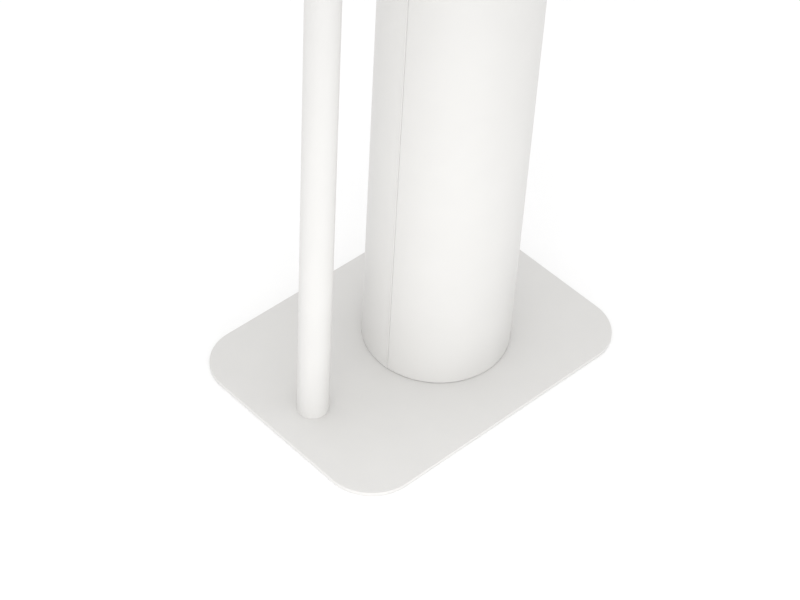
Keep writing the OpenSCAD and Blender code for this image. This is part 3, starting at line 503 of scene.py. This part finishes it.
# %% Clear panel
far_corner, near_corner = 39.5 * MM, 14 * MM
glass_low, glass_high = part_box("clear_panel")
panel = block("acrylic_panel", glass_low, glass_high)
edit(panel)
choose("edges", lambda e: runs_along(e, 0) and near(middle(e).y, glass_high.y))
bpy.ops.mesh.bevel(offset=far_corner, segments=20, affect="EDGES")
choose("edges", lambda e: runs_along(e, 0) and near(middle(e).y, glass_low.y))
bpy.ops.mesh.bevel(offset=near_corner, segments=10, affect="EDGES")
leave()
soften(panel, 0.6 * MM, 3, 60)
smooth(panel)
modify(panel, "WEIGHTED_NORMAL", keep_sharp=True, weight=100)
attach(panel, "arm")
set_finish(panel, "clear_acrylic")
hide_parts("clear_panel")
print("panel", [round(v / MM, 1) for v in panel.dimensions], "mm")

# %% Clips
clip_y = [glass_low.y + 50 * MM, (glass_low.y + glass_high.y) / 2, glass_high.y - 50 * MM]
clip_x, clip_l, slot_x = 7 * MM, 13 * MM, 2.55 * MM
clip_top = arm_r + 20 * MM
dimple_z = clip_top - 6 * MM
clip = block("clip", (-clip_x, -clip_l, arm_r / 2), (clip_x, clip_l, clip_top))
edit(clip)
choose("edges", lambda e: runs_along(e, 2))
bpy.ops.mesh.bevel(offset=2.5 * MM, segments=5, affect="EDGES")
choose("edges", lambda e: near(middle(e).z, clip_top))
bpy.ops.mesh.bevel(offset=1.2 * MM, segments=4, affect="EDGES")
leave()
dimples = [rod("dimple", 2.2 * MM, (side * 5.6 * MM, 0, dimple_z), (side * 9 * MM, 0, dimple_z), 24)
           for side in (1, -1)]
carve(clip, [block("slot", (-slot_x, -20 * MM, arm_r + 8 * MM), (slot_x, 20 * MM, 0.1)),
             rod("saddle", arm_r + 0.02 * MM, (0, -20 * MM, 0), (0, 20 * MM, 0))] + dimples)
smooth(clip)
clips = []
for number, (y, row) in enumerate([(y, row) for y in clip_y for row in (0, 1)], 1):
    place = Matrix.Translation((0, y, arm_heights[row])) @ Matrix.Rotation(row * pi, 4, "Y")
    clips.append(copy_of(clip, f"panel_clip_{number}", place))
bpy.data.objects.remove(clip)
for piece in clips:
    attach(piece, "arm")
    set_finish(piece, "zinc_plated_steel")
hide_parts("panel_clips")
print(len(clips), "clips")

# %% [markdown]
# ## The sign on the panel
# A clear panel needs something that the eye stops at, so a round film is stuck on each face: a
# plain red disc with a pale rim and a pale bar. The disc is a thin turned piece. Its rim and
# its bar belong to its finish, because on the real film they are printed.

# %% Sign films
sign_low, sign_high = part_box("panel_sign")
sign_r = (sign_high.y - sign_low.y) / 2
sign_mid = (sign_low + sign_high) / 2
for name, side in (("sign_film_right", 1), ("sign_film_left", -1)):
    film = rod(name, sign_r, (side * glass_high.x, sign_mid.y, sign_mid.z),
               (side * sign_high.x, sign_mid.y, sign_mid.z), 128)
    edit(film)
    choose("edges", lambda e: near(abs(middle(e).x), sign_high.x))
    bpy.ops.mesh.bevel(offset=0.1 * MM, segments=2, affect="EDGES")
    leave()
    smooth(film)
    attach(film, "arm")
    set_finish(film, "red_film")
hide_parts("panel_sign")
print("sign films of", round(2 * sign_r / MM, 1), "mm")

# %% [markdown]
# ## The screws
# Small screws say more about how a thing is made than anything else on it. A button head is a
# low dome with a hexagon socket. It is modelled once at the origin and copied to its places. A
# countersunk head is a cone with its face flush, and it has the same kind of socket.

# %% Button head screw
head_r, head_h, head_edge = 3.8 * MM, 2.2 * MM, 0.35 * MM
shank_r, shank_l = 2 * MM, 9 * MM
dome = [(head_r * cos(a), head_edge + (head_h - head_edge) * sin(a))
        for a in [radians(12 * i) for i in range(6)]]
button = turned("button", [(0, -shank_l), (1.75 * MM, -shank_l), (shank_r, -shank_l + 0.4 * MM),
                           (shank_r, 0), (head_r, 0)] + dome
                + [(1.6 * MM, head_h), (0, head_h)], steps=48)
carve(button, [rod("socket", 1.4 * MM, (0, 0, head_h * 0.4), (0, 0, head_h + MM), 6)])
smooth(button)


def screws_at(pattern, names, spots, body, replaced):
    """Copies the screw to its places on the column, pointing straight out."""
    made = []
    for number, (degrees, z) in enumerate(spots, 1):
        place = (Matrix.Translation((0, 0, z)) @ Matrix.Rotation(radians(degrees), 4, "Z")
                 @ Matrix.Translation((column_r, 0, 0)) @ Matrix.Rotation(pi / 2, 4, "Y"))
        made.append(copy_of(pattern, f"{names}_{number}", place))
    for piece in made:
        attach(piece, body)
        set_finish(piece, "zinc_plated_steel")
    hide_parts(replaced)
    return made


shell_screws = screws_at(button, "shell_screw", shell_screw_spots, "stand", "shell_screws")
sleeve_screws = screws_at(button, "sleeve_screw", sleeve_screw_spots, "arm", "sleeve_screws")
bpy.data.objects.remove(button)
print(len(shell_screws), "shell screws and", len(sleeve_screws), "sleeve screws")

# %% Countersunk screws
foot_length = 14 * MM
foot_screw = countersunk("foot", foot_d, foot_length)
carve(foot_screw, [rod("socket", 2.9 * MM, (0, 0, -MM), (0, 0, 3.4 * MM), 6)])
smooth(foot_screw)
foot_screws = [copy_of(foot_screw, f"foot_screw_{n}", Matrix.Translation(spot))
               for n, spot in enumerate(screw_spots[:4], 1)]
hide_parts("foot_screws")
post_screw = copy_of(foot_screw, "post_foot_screw", Matrix.Translation(screw_spots[4]))
edit(post_screw)
choose("verts", lambda v: near(v.co.z, foot_length))
bpy.ops.transform.translate(value=(0, 0, span("post_screw", 2)[1] - foot_length))
leave()
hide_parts("post_screw")
bpy.data.objects.remove(foot_screw)

cap_low, cap_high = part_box("top_cap")
upside_down = Matrix.Rotation(pi, 4, "X")
cap_places = [Matrix.Translation(around(62 * MM, a) + Vector((0, 0, cap_high.z))) @ upside_down
              for a in (0, 120, 240)]
cap_d = 4 * MM
cap_screw = countersunk("cap", cap_d, 15 * MM)
carve(cap_screw, [rod("socket", 1.6 * MM, (0, 0, -MM), (0, 0, 1.8 * MM), 6)])
smooth(cap_screw)
cap_screws = [copy_of(cap_screw, f"cap_screw_{n}", place) for n, place in enumerate(cap_places, 1)]
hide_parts("cap_screws")
bpy.data.objects.remove(cap_screw)
for piece in foot_screws + [post_screw] + cap_screws:
    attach(piece, "stand")
    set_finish(piece, "zinc_plated_steel")
print(len(foot_screws) + 1, "countersunk screws below and", len(cap_screws), "in the cap")

# %% [markdown]
# ## The top: light ring, cap and key switch
# The column ends in a ring of opal plastic that shows whether the gate is open, and a metal cap
# with a rounded edge. Both are turned shapes. A key switch in the cap lets the staff open the
# gate by hand. Its cylinder turns, so it is a piece of its own that rides on the key's body.

# %% Light ring and cap
ring_low, ring_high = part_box("light_ring")
ring = ringed("light_band", ring_high.x - 6 * MM, ring_high.x, ring_low.z, ring_high.z, 0.8 * MM, 4,
              steps=192)
smooth(ring)
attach(ring, "stand")
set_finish(ring, "opal_plastic")
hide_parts("light_ring")

cap_round, cap_chamfer = 6 * MM, 0.3 * MM
cap = turned("column_cap", [(0, cap_high.z), (0, cap_low.z), (column_r - cap_chamfer, cap_low.z),
                            (column_r, cap_low.z + cap_chamfer)]
             + round_corner(column_r - cap_round, cap_high.z - cap_round, cap_round, 0, 10), steps=192)
key_low, key_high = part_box("key_switch_body")
key_x, key_y = (key_low.x + key_high.x) / 2, (key_low.y + key_high.y) / 2
sinks = [rod("bore", 9.55 * MM, (key_x, key_y, cap_low.z - MM), (key_x, key_y, 2 * cap_high.z))]
sink = countersunk("sink", cap_d, 16 * MM, play)
sinks += [copy_of(sink, "bore", place) for place in cap_places]
bpy.data.objects.remove(sink)
carve(cap, sinks)
smooth(cap)
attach(cap, "stand")
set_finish(cap, "white_powder_coat")
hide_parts("top_cap")
print("cap and ring up to", round(cap_high.z / MM, 1), "mm")

# %% Key switch
flange_r = (key_high.x - key_low.x) / 2
flange_rim, edge = 0.8 * MM, 0.4 * MM
body_r, bore_r = 9.5 * MM, 6.05 * MM
bore_floor = key_high.z - 12 * MM
key_body = turned("key_barrel", [(0, key_low.z), (body_r, key_low.z), (body_r, cap_high.z),
                                 (flange_r, cap_high.z)]
                  + round_corner(flange_r - flange_rim, key_high.z - flange_rim, flange_rim, 0, 4)
                  + [(bore_r + edge, key_high.z), (bore_r, key_high.z - edge),
                     (bore_r, bore_floor), (0, bore_floor)],
                  x=key_x, y=key_y, steps=96)
smooth(key_body)
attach(key_body, "stand")
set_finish(key_body, "nickel_plate")
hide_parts("key_switch_body")

plug_low, plug_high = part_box("key_cylinder")
key_r = (plug_high.x - plug_low.x) / 2
key_plug = turned("key_plug", [(0, plug_low.z), (key_r, plug_low.z), (key_r, plug_high.z - edge),
                               (key_r - edge, plug_high.z), (0, plug_high.z)],
                  x=key_x, y=key_y, steps=64)
carve(key_plug, [block("keyway", (key_x - 0.8 * MM, key_y - 4 * MM, plug_high.z - 8 * MM),
                       (key_x + 0.8 * MM, key_y + 4 * MM, plug_high.z + MM)),
                 block("keyway", (key_x - 1.6 * MM, key_y + 0.5 * MM, plug_high.z - 8 * MM),
                       (key_x + 0.4 * MM, key_y + 1.7 * MM, plug_high.z + MM))])
smooth(key_plug)
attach(key_plug, "key")
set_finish(key_plug, "nickel_plate")
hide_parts("key_cylinder")
print("key switch at", round(key_x / MM, 1), "mm")

# %% [markdown]
# ## The scanner head
# The head tilts on the post's yoke. It is a white moulded rear shell with a dark front frame
# around a red window and a green lens. All four are built lying flat, with the window facing
# up, as they would lie on a bench, and are then tilted and lifted to the pivot in one step. The
# pivot's place is read from the CAD model, and the window slopes by 40 degrees, as it does there.

# %% Bench to pivot
pivot_low, pivot_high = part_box("tilt_bolt")
pivot_z = (pivot_low.z + pivot_high.z) / 2
window_slope = 40
to_pivot = (Matrix.Translation((post_x, 0, pivot_z))
            @ Matrix.Rotation(radians(window_slope - 90), 4, "Y"))
head_l, head_w, head_corner = 96 * MM, 84 * MM, 14 * MM
hollow_l, hollow_w, hollow_corner = head_l - 5 * MM, head_w - 5 * MM, 11.5 * MM
rear_z, front_z, face_z = 14 * MM, 36 * MM, 48 * MM
front_t = 3 * MM
print("pivot at", round(pivot_z / MM, 1), "mm")


def slab(name, length, width, corner, z0, z1, x=0.0, steps=12):
    """A flat block with round corners, lying on the bench."""
    obj = block(name, (x - length / 2, -width / 2, z0), (x + length / 2, width / 2, z1))
    edit(obj)
    choose("edges", lambda e: runs_along(e, 2))
    bpy.ops.mesh.bevel(offset=corner, segments=steps, affect="EDGES")
    leave()
    return obj


def lift(obj, body, slot_name, node):
    """Takes a finished piece from the bench to the pivot."""
    obj.data.transform(to_pivot)
    smooth(obj)
    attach(obj, body)
    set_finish(obj, slot_name)
    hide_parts(node)


# %% [markdown]
# The yoke is the fork that carries the head. It is milled from a round bar, so its ears keep the
# bar's round outside and have flat inner faces. It is made in the same order: a bar, a block for
# the ears, a cut back to the bar's round, and a slot between the ears. Its bolt has a low head
# with a hexagon socket at each end.

# %% Yoke and bolt
post_top, bar_top = post_high.z, pivot_z + 20 * MM
ear_t, ear_w = 6 * MM, 22 * MM
head_seat = post_r - 2.5 * MM
yoke = rod("post_yoke", post_r, (post_x, 0, post_top), (post_x, 0, post_top + 7 * MM), 128)
carve(yoke, [block("ears", (post_x - ear_w / 2, -post_r, post_top + 5 * MM),
                   (post_x + ear_w / 2, post_r, pivot_z)),
             rod("ears", ear_w / 2, (post_x, -post_r, pivot_z), (post_x, post_r, pivot_z), 64)],
      "UNION")
carve(yoke, [rod("bar", post_r, (post_x, 0, post_top - MM), (post_x, 0, bar_top), 128)], "INTERSECT")
carve(yoke, [block("slot", (post_x - 0.02, ear_t - post_r, post_top + 7 * MM),
                   (post_x + 0.02, post_r - ear_t, bar_top)),
             rod("hole", 3.02 * MM, (post_x, -0.02, pivot_z), (post_x, 0.02, pivot_z), 48)])
carve(yoke, [rod("seat", 5.2 * MM, (post_x, side * head_seat, pivot_z),
                 (post_x, side * 0.02, pivot_z), 48) for side in (-1, 1)])
soften(yoke, 0.5 * MM, 3, 40)
carve(yoke, [rod("spigot", post_r - post_wall - 0.02 * MM, (post_x, 0, post_top - 30 * MM),
                 (post_x, 0, post_top + MM), 96)], "UNION")
smooth(yoke)
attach(yoke, "stand")
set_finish(yoke, "cast_aluminium")
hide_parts("tilt_yoke")

bolt = rod("tilt_pin", 3 * MM, (post_x, -head_seat - MM, pivot_z), (post_x, head_seat + MM, pivot_z), 48)
for side in (-1, 1):
    outer = side * (head_seat + 2 * MM)
    head = rod("head", 5 * MM, (post_x, side * head_seat, pivot_z), (post_x, outer, pivot_z), 48)
    soften(head, 0.5 * MM, 3, 60)
    carve(head, [rod("socket", 2 * MM, (post_x, outer - side * 1.3 * MM, pivot_z),
                     (post_x, outer + side * MM, pivot_z), 6)])
    carve(bolt, [head], "UNION")
smooth(bolt)
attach(bolt, "stand")
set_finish(bolt, "zinc_plated_steel")
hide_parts("tilt_bolt")
print("yoke", [round(v / MM, 1) for v in yoke.dimensions], "mm")

# %% Rear shell
rear = slab("head_rear", head_l, head_w, head_corner, rear_z, front_z)
edit(rear)
choose("edges", lambda e: near(middle(e).z, rear_z))
bpy.ops.mesh.bevel(offset=5 * MM, segments=6, affect="EDGES")
choose("edges", lambda e: near(middle(e).z, front_z))
bpy.ops.mesh.bevel(offset=0.35 * MM, segments=2, affect="EDGES")
leave()
knuckle_r, knuckle_half = 10 * MM, 11.2 * MM
carve(rear, [block("knuckle", (-knuckle_r, -knuckle_half, 0), (knuckle_r, knuckle_half, rear_z + 4 * MM)),
             rod("knuckle", knuckle_r, (0, -knuckle_half, 0), (0, knuckle_half, 0), 64)], "UNION")
carve(rear, [slab("hollow", hollow_l, hollow_w, hollow_corner, rear_z + 4.9 * MM, front_z + MM),
             rod("pivot", 3.05 * MM, (0, -0.1, 0), (0, 0.1, 0), 48)])
lift(rear, "scanner", "white_moulding", "scanner_rear_shell")
print("rear shell with", len(rear.data.polygons), "faces")

# %% Front frame, window and lens
front = slab("head_front", head_l, head_w, head_corner, front_z, face_z)
edit(front)
choose("edges", lambda e: near(middle(e).z, face_z))
bpy.ops.mesh.bevel(offset=2.5 * MM, segments=6, affect="EDGES")
choose("edges", lambda e: near(middle(e).z, front_z))
bpy.ops.mesh.bevel(offset=0.35 * MM, segments=2, affect="EDGES")
leave()
window_x, window_l, window_w = -6 * MM, 56 * MM, 60 * MM
lamp_x, lamp_l, lamp_w = 36 * MM, 5 * MM, 44 * MM
window_corner = 6 * MM
carve(front, [slab("hollow", hollow_l, hollow_w, hollow_corner, front_z - MM, face_z - front_t),
              slab("opening", window_l, window_w, window_corner, front_z, face_z + MM, window_x),
              slab("opening", lamp_l, lamp_w, 2.4 * MM, front_z, face_z + MM, lamp_x)])
edit(front)
choose("edges", lambda e: near(middle(e).z, face_z) and len(e.link_faces) == 2
       and e.calc_face_angle(0) > radians(60))
bpy.ops.mesh.bevel(offset=0.6 * MM, segments=3, affect="EDGES")
leave()
lift(front, "scanner", "dark_moulding", "scanner_front")

window = slab("red_window", window_l + 6 * MM, window_w + 8 * MM, window_corner, face_z - 5 * MM,
              face_z - front_t, window_x)
soften(window, 0.3 * MM, 2, 60)
lift(window, "scanner", "red_filter", "scan_window")

lens = slab("status_lens", lamp_l - 0.1 * MM, lamp_w - 0.1 * MM, 2.3 * MM, face_z - 5 * MM,
            face_z - 0.6 * MM, lamp_x, 8)
soften(lens, 0.5 * MM, 3, 60)
lift(lens, "scanner", "green_lens", "scanner_lamp")
print("scanner head is", round(head_l / MM), "by", round(head_w / MM), "mm")

# %% [markdown]
# # Finishes
# Colours are written as sRGB hex values, as on a paint card, and turned to the linear values
# that shaders work in. Patterns use Object coordinates, so they are as large as on the real
# thing and stay on a piece when it moves. A pattern's scale is one over its real size.

# %% Colour and node helpers
def linear(code):
    """An sRGB hex colour as the linear values that shaders work in."""
    parts = [int(code[i:i + 2], 16) / 255 for i in (1, 3, 5)]
    return [p / 12.92 if p <= 0.04045 else ((p + 0.055) / 1.055) ** 2.4 for p in parts] + [1.0]


def node(tree, kind, inputs, **settings):
    """Adds one shader node with its settings, and gives its sockets values or links."""
    made = tree.nodes.new("ShaderNode" + kind)
    for key, value in settings.items():
        setattr(made, key, value)
    for key, value in inputs.items():
        if isinstance(value, bpy.types.NodeSocket):
            tree.links.new(value, made.inputs[key])
        else:
            made.inputs[key].default_value = value
    return made


# %% [markdown]
# Every finish here has the same three habits of a real surface. Its colour wanders a little
# from place to place, its gloss wanders too, and it has a fine relief. One function makes those
# three from sizes in millimetres. What is special to a material, such as the turning marks on
# aluminium or the print on a film, is added to it afterwards.

# %% A surface with the three habits
def surface(name, tones, blotch, rough, grain, relief, sockets, detail=2.0):
    """A finish: two tones in blotches, roughness between two values, and a relief in mm."""
    made = bpy.data.materials.new(name)
    made.use_nodes = True
    tree = made.node_tree
    shader = tree.nodes["Principled BSDF"]
    for key, value in sockets.items():
        shader.inputs[key].default_value = value
    place = node(tree, "TexCoord", {}).outputs["Object"]
    clouds = node(tree, "TexNoise", {"Vector": place, "Scale": 1 / (blotch * MM), "Detail": 3.0})
    colour = node(tree, "Mix", {0: clouds.outputs["Fac"], 6: linear(tones[0]), 7: linear(tones[1])},
                  data_type="RGBA")
    tree.links.new(colour.outputs[2], shader.inputs["Base Color"])
    gloss = node(tree, "MapRange", {"Value": clouds.outputs["Fac"], "From Min": 0.3, "From Max": 0.7,
                                    "To Min": rough[0], "To Max": rough[1]})
    tree.links.new(gloss.outputs["Result"], shader.inputs["Roughness"])
    skin = node(tree, "TexNoise", {"Vector": place, "Scale": 1 / (grain * MM), "Detail": detail})
    bump = node(tree, "Bump", {"Height": skin.outputs["Fac"], "Strength": 1.0,
                               "Distance": relief * MM})
    tree.links.new(bump.outputs["Normal"], shader.inputs["Normal"])
    return {"material": made, "tree": tree, "shader": shader, "place": place, "bump": bump,
            "colour": colour}


def over_relief(finish, height, depth):
    """Lays a second relief over a finish's own, by its depth in mm."""
    tree = finish["tree"]
    bump = node(tree, "Bump", {"Height": height, "Strength": 1.0, "Distance": depth * MM,
                               "Normal": finish["bump"].outputs["Normal"]})
    tree.links.new(bump.outputs["Normal"], finish["shader"].inputs["Normal"])


# %% [markdown]
# ## White coat and white moulding
# The steel is coated with polyester powder, which is sprayed on dry and melted in an oven. It
# flows out into a satin skin with a faint orange peel, about 2 mm from crest to crest and a
# hundredth of a millimetre deep. The scanner's rear shell is moulded in nearly the same white.
# Its skin is the finer grain of a spark-eroded mould.

# %% Powder coat and moulding
coat = surface("white_polyester_powder_coat", ("#D5D4D2", "#D9D8D6"), 45, (0.45, 0.55), 2.0, 0.012,
               {"IOR": 1.5, "Specular IOR Level": 0.3})
moulding = surface("white_moulded_abs", ("#D7D6D3", "#DBDAD7"), 60, (0.45, 0.55), 0.6, 0.02,
                   {"IOR": 1.53})
print("white finishes:", coat["material"].name, moulding["material"].name)

# %% [markdown]
# ## Metals
# Zinc plate is a bright grey with a faint mottle. Aluminium has soft rings around the gate's
# axis, drawn 5 mm apart, far wider than real turning marks. Ground steel is the smoothest,
# brass is warm, and satin nickel has rings around the key, drawn 3 mm apart.
#
# A wave texture repeats each time its phase grows by a full turn, and the phase is 20 times the
# place times the scale. So the distance between two bands gives the scale.

# %% Metal finishes
def wave_scale(apart):
    """The scale at which a wave texture's bands are this far apart."""
    return TURN / (20 * apart)


zinc = surface("zinc_plated_steel", ("#B4B7BC", "#C3C4C4"), 12, (0.28, 0.42), 0.8, 0.006,
               {"Metallic": 1.0})
aluminium = surface("turned_aluminium", ("#BFC1C3", "#CBCCCD"), 25, (0.28, 0.38), 1.2, 0.004,
                    {"Metallic": 1.0})
rings = node(aluminium["tree"], "TexWave", {"Vector": aluminium["place"], "Distortion": 0.4,
                                            "Scale": wave_scale(5.0265 * MM)},
             wave_type="RINGS", rings_direction="Z")
over_relief(aluminium, rings.outputs["Fac"], 0.01)
bearing = surface("ground_bearing_steel", ("#C2C3C6", "#CDCED0"), 8, (0.14, 0.22), 0.5, 0.002,
                  {"Metallic": 1.0})
brass = surface("cut_brass", ("#B8934A", "#CBA65C"), 6, (0.25, 0.36), 0.7, 0.006,
                {"Metallic": 1.0})
nickel = surface("satin_nickel_plate", ("#B5B0A6", "#C4C0B8"), 10, (0.24, 0.32), 0.5, 0.003,
                 {"Metallic": 1.0})
from_key = node(nickel["tree"], "Mapping", {"Vector": nickel["place"],
                                            "Location": (-key_x, -key_y, 0.0)})
brushed = node(nickel["tree"], "TexWave", {"Vector": from_key.outputs["Vector"], "Distortion": 1.0,
                                           "Scale": wave_scale(3.1416 * MM)},
               wave_type="RINGS", rings_direction="Z")
over_relief(nickel, brushed.outputs["Fac"], 0.006)
case = surface("grey_painted_steel_case", ("#75777A", "#7E8083"), 20, (0.45, 0.55), 1.2, 0.01,
               {"IOR": 1.5})
print("metal finishes:", *[m["material"].name for m in (zinc, aluminium, bearing, brass, nickel)])

# %% [markdown]
# ## Rubber, plastics and the circuit boards
# Rubber is matt. Nylon and moulded ABS keep the grain of their moulds. A
# circuit board is a green lacquer over copper tracks. The tracks are drawn as thin lighter
# lines, 2.5 mm apart.

# %% Rubber and plastic finishes
rubber = surface("black_epdm_rubber", ("#161616", "#1E1D1C"), 15, (0.75, 0.9), 0.5, 0.03,
                 {"IOR": 1.52})
nylon = surface("black_moulded_nylon", ("#19191A", "#202021"), 12, (0.42, 0.55), 0.5, 0.015,
                {"IOR": 1.53})
dark = surface("dark_grey_moulded_abs", ("#2B2D30", "#313336"), 30, (0.38, 0.5), 0.6, 0.02,
               {"IOR": 1.53})
lacquer = surface("green_solder_mask", ("#17502B", "#1C5A31"), 8, (0.25, 0.35), 1.0, 0.006,
                  {"IOR": 1.55})
tracks = node(lacquer["tree"], "TexBrick", {"Vector": lacquer["place"], "Scale": 1.0,
                                            "Color1": lacquer["colour"].outputs[2],
                                            "Color2": lacquer["colour"].outputs[2],
                                            "Mortar": linear("#3C8454"), "Mortar Size": 0.35 * MM,
                                            "Brick Width": 9 * MM, "Row Height": 2.5 * MM},
              offset=0.37)
lacquer["tree"].links.new(tracks.outputs["Color"], lacquer["shader"].inputs["Base Color"])
print("plastics ready")

# %% [markdown]
# ## Clear and coloured plastics
# Acrylic bends light with an index of 1.49. It is clear, with a trace of green, and its faces
# wander by a hundredth of a millimetre, as cast sheet does. Opal plastic lets light in and
# scatters it. The window of the scanner is a red filter, nearly black until it is lit. The
# status lens is a green translucent strip with soft ribs, 10 mm apart.

# %% Clear and coloured finishes
acrylic = surface("clear_cast_acrylic", ("#F1F7F6", "#F5FAF9"), 200, (0.02, 0.04), 30, 0.01,
                  {"IOR": 1.49, "Transmission Weight": 1.0})
opal = surface("opal_polycarbonate", ("#E4EAE7", "#EAEFEC"), 25, (0.32, 0.4), 0.8, 0.006,
               {"IOR": 1.58, "Subsurface Weight": 0.5, "Subsurface Radius": (1.0, 1.0, 1.0),
                "Subsurface Scale": 4 * MM})
filter_red = surface("dark_red_filter", ("#4A070D", "#520810"), 30, (0.05, 0.08), 20, 0.01,
                     {"IOR": 1.49, "Transmission Weight": 0.35, "Coat Weight": 0.6,
                      "Coat Roughness": 0.04})
lens_green = surface("green_translucent_lens", ("#3FA868", "#4BB274"), 10, (0.18, 0.26), 3, 0.004,
                     {"IOR": 1.49, "Transmission Weight": 0.25, "Coat Weight": 0.4})
ribs = node(lens_green["tree"], "TexWave", {"Vector": lens_green["place"],
                                            "Scale": wave_scale(10.0531 * MM)},
            wave_type="BANDS", bands_direction="Y")
over_relief(lens_green, ribs.outputs["Fac"], 0.12)
print("clear finishes ready")

# %% [markdown]
# The film on the panel is printed: red, with a pale rim 4 mm wide and a pale bar across. The
# print is worked out from the distance to the middle of the disc and from the height above it,
# so its edges stay sharp at any size.

# %% Printed film
film_red = surface("printed_red_film", ("#A8141A", "#B0181E"), 30, (0.3, 0.4), 0.5, 0.004,
                   {"IOR": 1.46})
tree = film_red["tree"]
rim_width, bar_half_l, bar_half_h = 4 * MM, 40 * MM, 11 * MM
from_middle = node(tree, "Mapping", {"Vector": film_red["place"],
                                     "Location": (0.0, -sign_mid.y, -sign_mid.z)})
apart = node(tree, "SeparateXYZ", {"Vector": from_middle.outputs["Vector"]})
flat = node(tree, "CombineXYZ", {"Y": apart.outputs["Y"], "Z": apart.outputs["Z"]})
reach = node(tree, "VectorMath", {0: flat.outputs["Vector"]}, operation="LENGTH")
rim_ring = node(tree, "Math", {0: reach.outputs["Value"], 1: sign_r - rim_width},
                operation="GREATER_THAN")
bar_y = node(tree, "Math", {0: apart.outputs["Y"], 1: 0.0, 2: bar_half_l}, operation="COMPARE")
bar_z = node(tree, "Math", {0: apart.outputs["Z"], 1: 0.0, 2: bar_half_h}, operation="COMPARE")
bar = node(tree, "Math", {0: bar_y.outputs["Value"], 1: bar_z.outputs["Value"]}, operation="MULTIPLY")
pale = node(tree, "Math", {0: bar.outputs["Value"], 1: rim_ring.outputs["Value"]}, operation="MAXIMUM")
print_colour = node(tree, "Mix", {0: pale.outputs["Value"], 6: film_red["colour"].outputs[2],
                                  7: linear("#E6E4E0")}, data_type="RGBA")
tree.links.new(print_colour.outputs[2], film_red["shader"].inputs["Base Color"])
print("film print: rim from", round((sign_r - rim_width) / MM, 1), "mm, bar",
      round(2 * bar_half_l / MM), "by", round(2 * bar_half_h / MM), "mm")

# %% [markdown]
# ## Giving out the finishes
# The record names a material slot for every CAD node, and each new piece has been given one of
# the same names. One table from slot to finish therefore covers them all.

# %% Finishes to slots
FINISHES = {
    "white_powder_coat": coat, "white_moulding": moulding, "zinc_plated_steel": zinc,
    "cast_aluminium": aluminium, "bearing_steel": bearing, "gear_brass": brass,
    "black_rubber": rubber, "black_plastic": nylon, "green_board": lacquer,
    "vented_steel": case, "nickel_plate": nickel, "opal_plastic": opal,
    "clear_acrylic": acrylic, "red_film": film_red, "dark_moulding": dark,
    "red_filter": filter_red, "green_lens": lens_green,
}
slot_of = {part["node"]: part["material_slot"] for part in frame["record"]["subparts"]}
for name, obj in frame["nodes"].items():
    obj.data.materials.clear()
    obj.data.materials.append(FINISHES[slot_of[name]]["material"])
pieces = [obj for obj in bpy.data.objects if "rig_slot" in obj]
for obj in pieces:
    obj.data.materials.clear()
    obj.data.materials.append(FINISHES[obj["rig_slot"]]["material"])
print(len(slot_of), "CAD nodes and", len(pieces), "new pieces have their finishes")

# %% [markdown]
# # Floor, light and camera
# The gate stands on a plain white floor, as in a catalogue. Most of the light comes from all
# around, which keeps the shadows pale. A large softbox, high in front of the gate, lifts the
# plate, and a low one close to the floor fills the foot of the tubes.

# %% Floor
floor = add("studio_floor", bpy.ops.mesh.primitive_plane_add, size=30, location=(0, 0, -0.05 * MM))
paper = surface("white_paper_sweep", ("#FAFAFA", "#FBFBFB"), 400, (0.9, 0.95), 3, 0.01, {"IOR": 1.3})
floor.data.materials.append(paper["material"])
print("floor of", round(floor.dimensions.x), "m")

# %% Light
scene = bpy.context.scene
scene.view_settings.view_transform = "Standard"
scene.world = bpy.data.worlds.new("studio_air")
scene.world.use_nodes = True
air = scene.world.node_tree.nodes["Background"]
air.inputs["Color"].default_value = linear("#FFFFFF")
air.inputs["Strength"].default_value = 1.06


def softbox(name, degrees, rise, distance, width, height, power, aim_height=0.3):
    """A rectangular light, aimed at the gate's foot from an angle around Z and one of height."""
    aim = Vector((-0.05, 0, aim_height))
    out = around(cos(radians(rise)), degrees) + Vector((0, 0, sin(radians(rise))))
    lamp = bpy.data.lights.new(name, "AREA")
    lamp.shape = "RECTANGLE"
    lamp.size, lamp.size_y, lamp.energy = width, height, power
    obj = bpy.data.objects.new(name, lamp)
    obj.location = aim + out * distance
    obj.rotation_euler = out.to_track_quat("Z", "Y").to_euler()
    obj.visible_camera = False
    scene.collection.objects.link(obj)


softbox("high_softbox", degrees=215, rise=55, distance=3.2, width=1.7, height=1.0, power=6)
softbox("foot_softbox", degrees=228, rise=-2, distance=0.8, width=1.0, height=0.12, power=1.9,
        aim_height=0.15)

# %% [markdown]
# The camera looks down at the foot of the gate from a height of 1.8 m and through a long lens,
# so that the upright tubes run almost parallel.

# %% Camera
yaw, pitch, roll = radians(45.27), radians(44.14), radians(-3.51)
ahead = Vector((sin(yaw) * cos(pitch), cos(yaw) * cos(pitch), -sin(pitch)))
right = Vector((cos(yaw), -sin(yaw), 0))
down = ahead.cross(right)
across = right * cos(roll) + down * sin(roll)
below = down * cos(roll) - right * sin(roll)
camera_data = bpy.data.cameras.new("catalogue_camera")
camera_data.lens, camera_data.sensor_width = 102.8, 36
camera = bpy.data.objects.new("catalogue_camera", camera_data)
camera_place = Vector((-1.3132, -1.2418, 1.8007))
camera_turn = Matrix((across, -below, -ahead)).transposed()
camera.matrix_world = Matrix.Translation(camera_place) @ camera_turn.to_4x4()
scene.collection.objects.link(camera)
scene.camera = camera
print("camera at", [round(v, 3) for v in camera_place], "with a", round(camera_data.lens, 1), "mm lens")
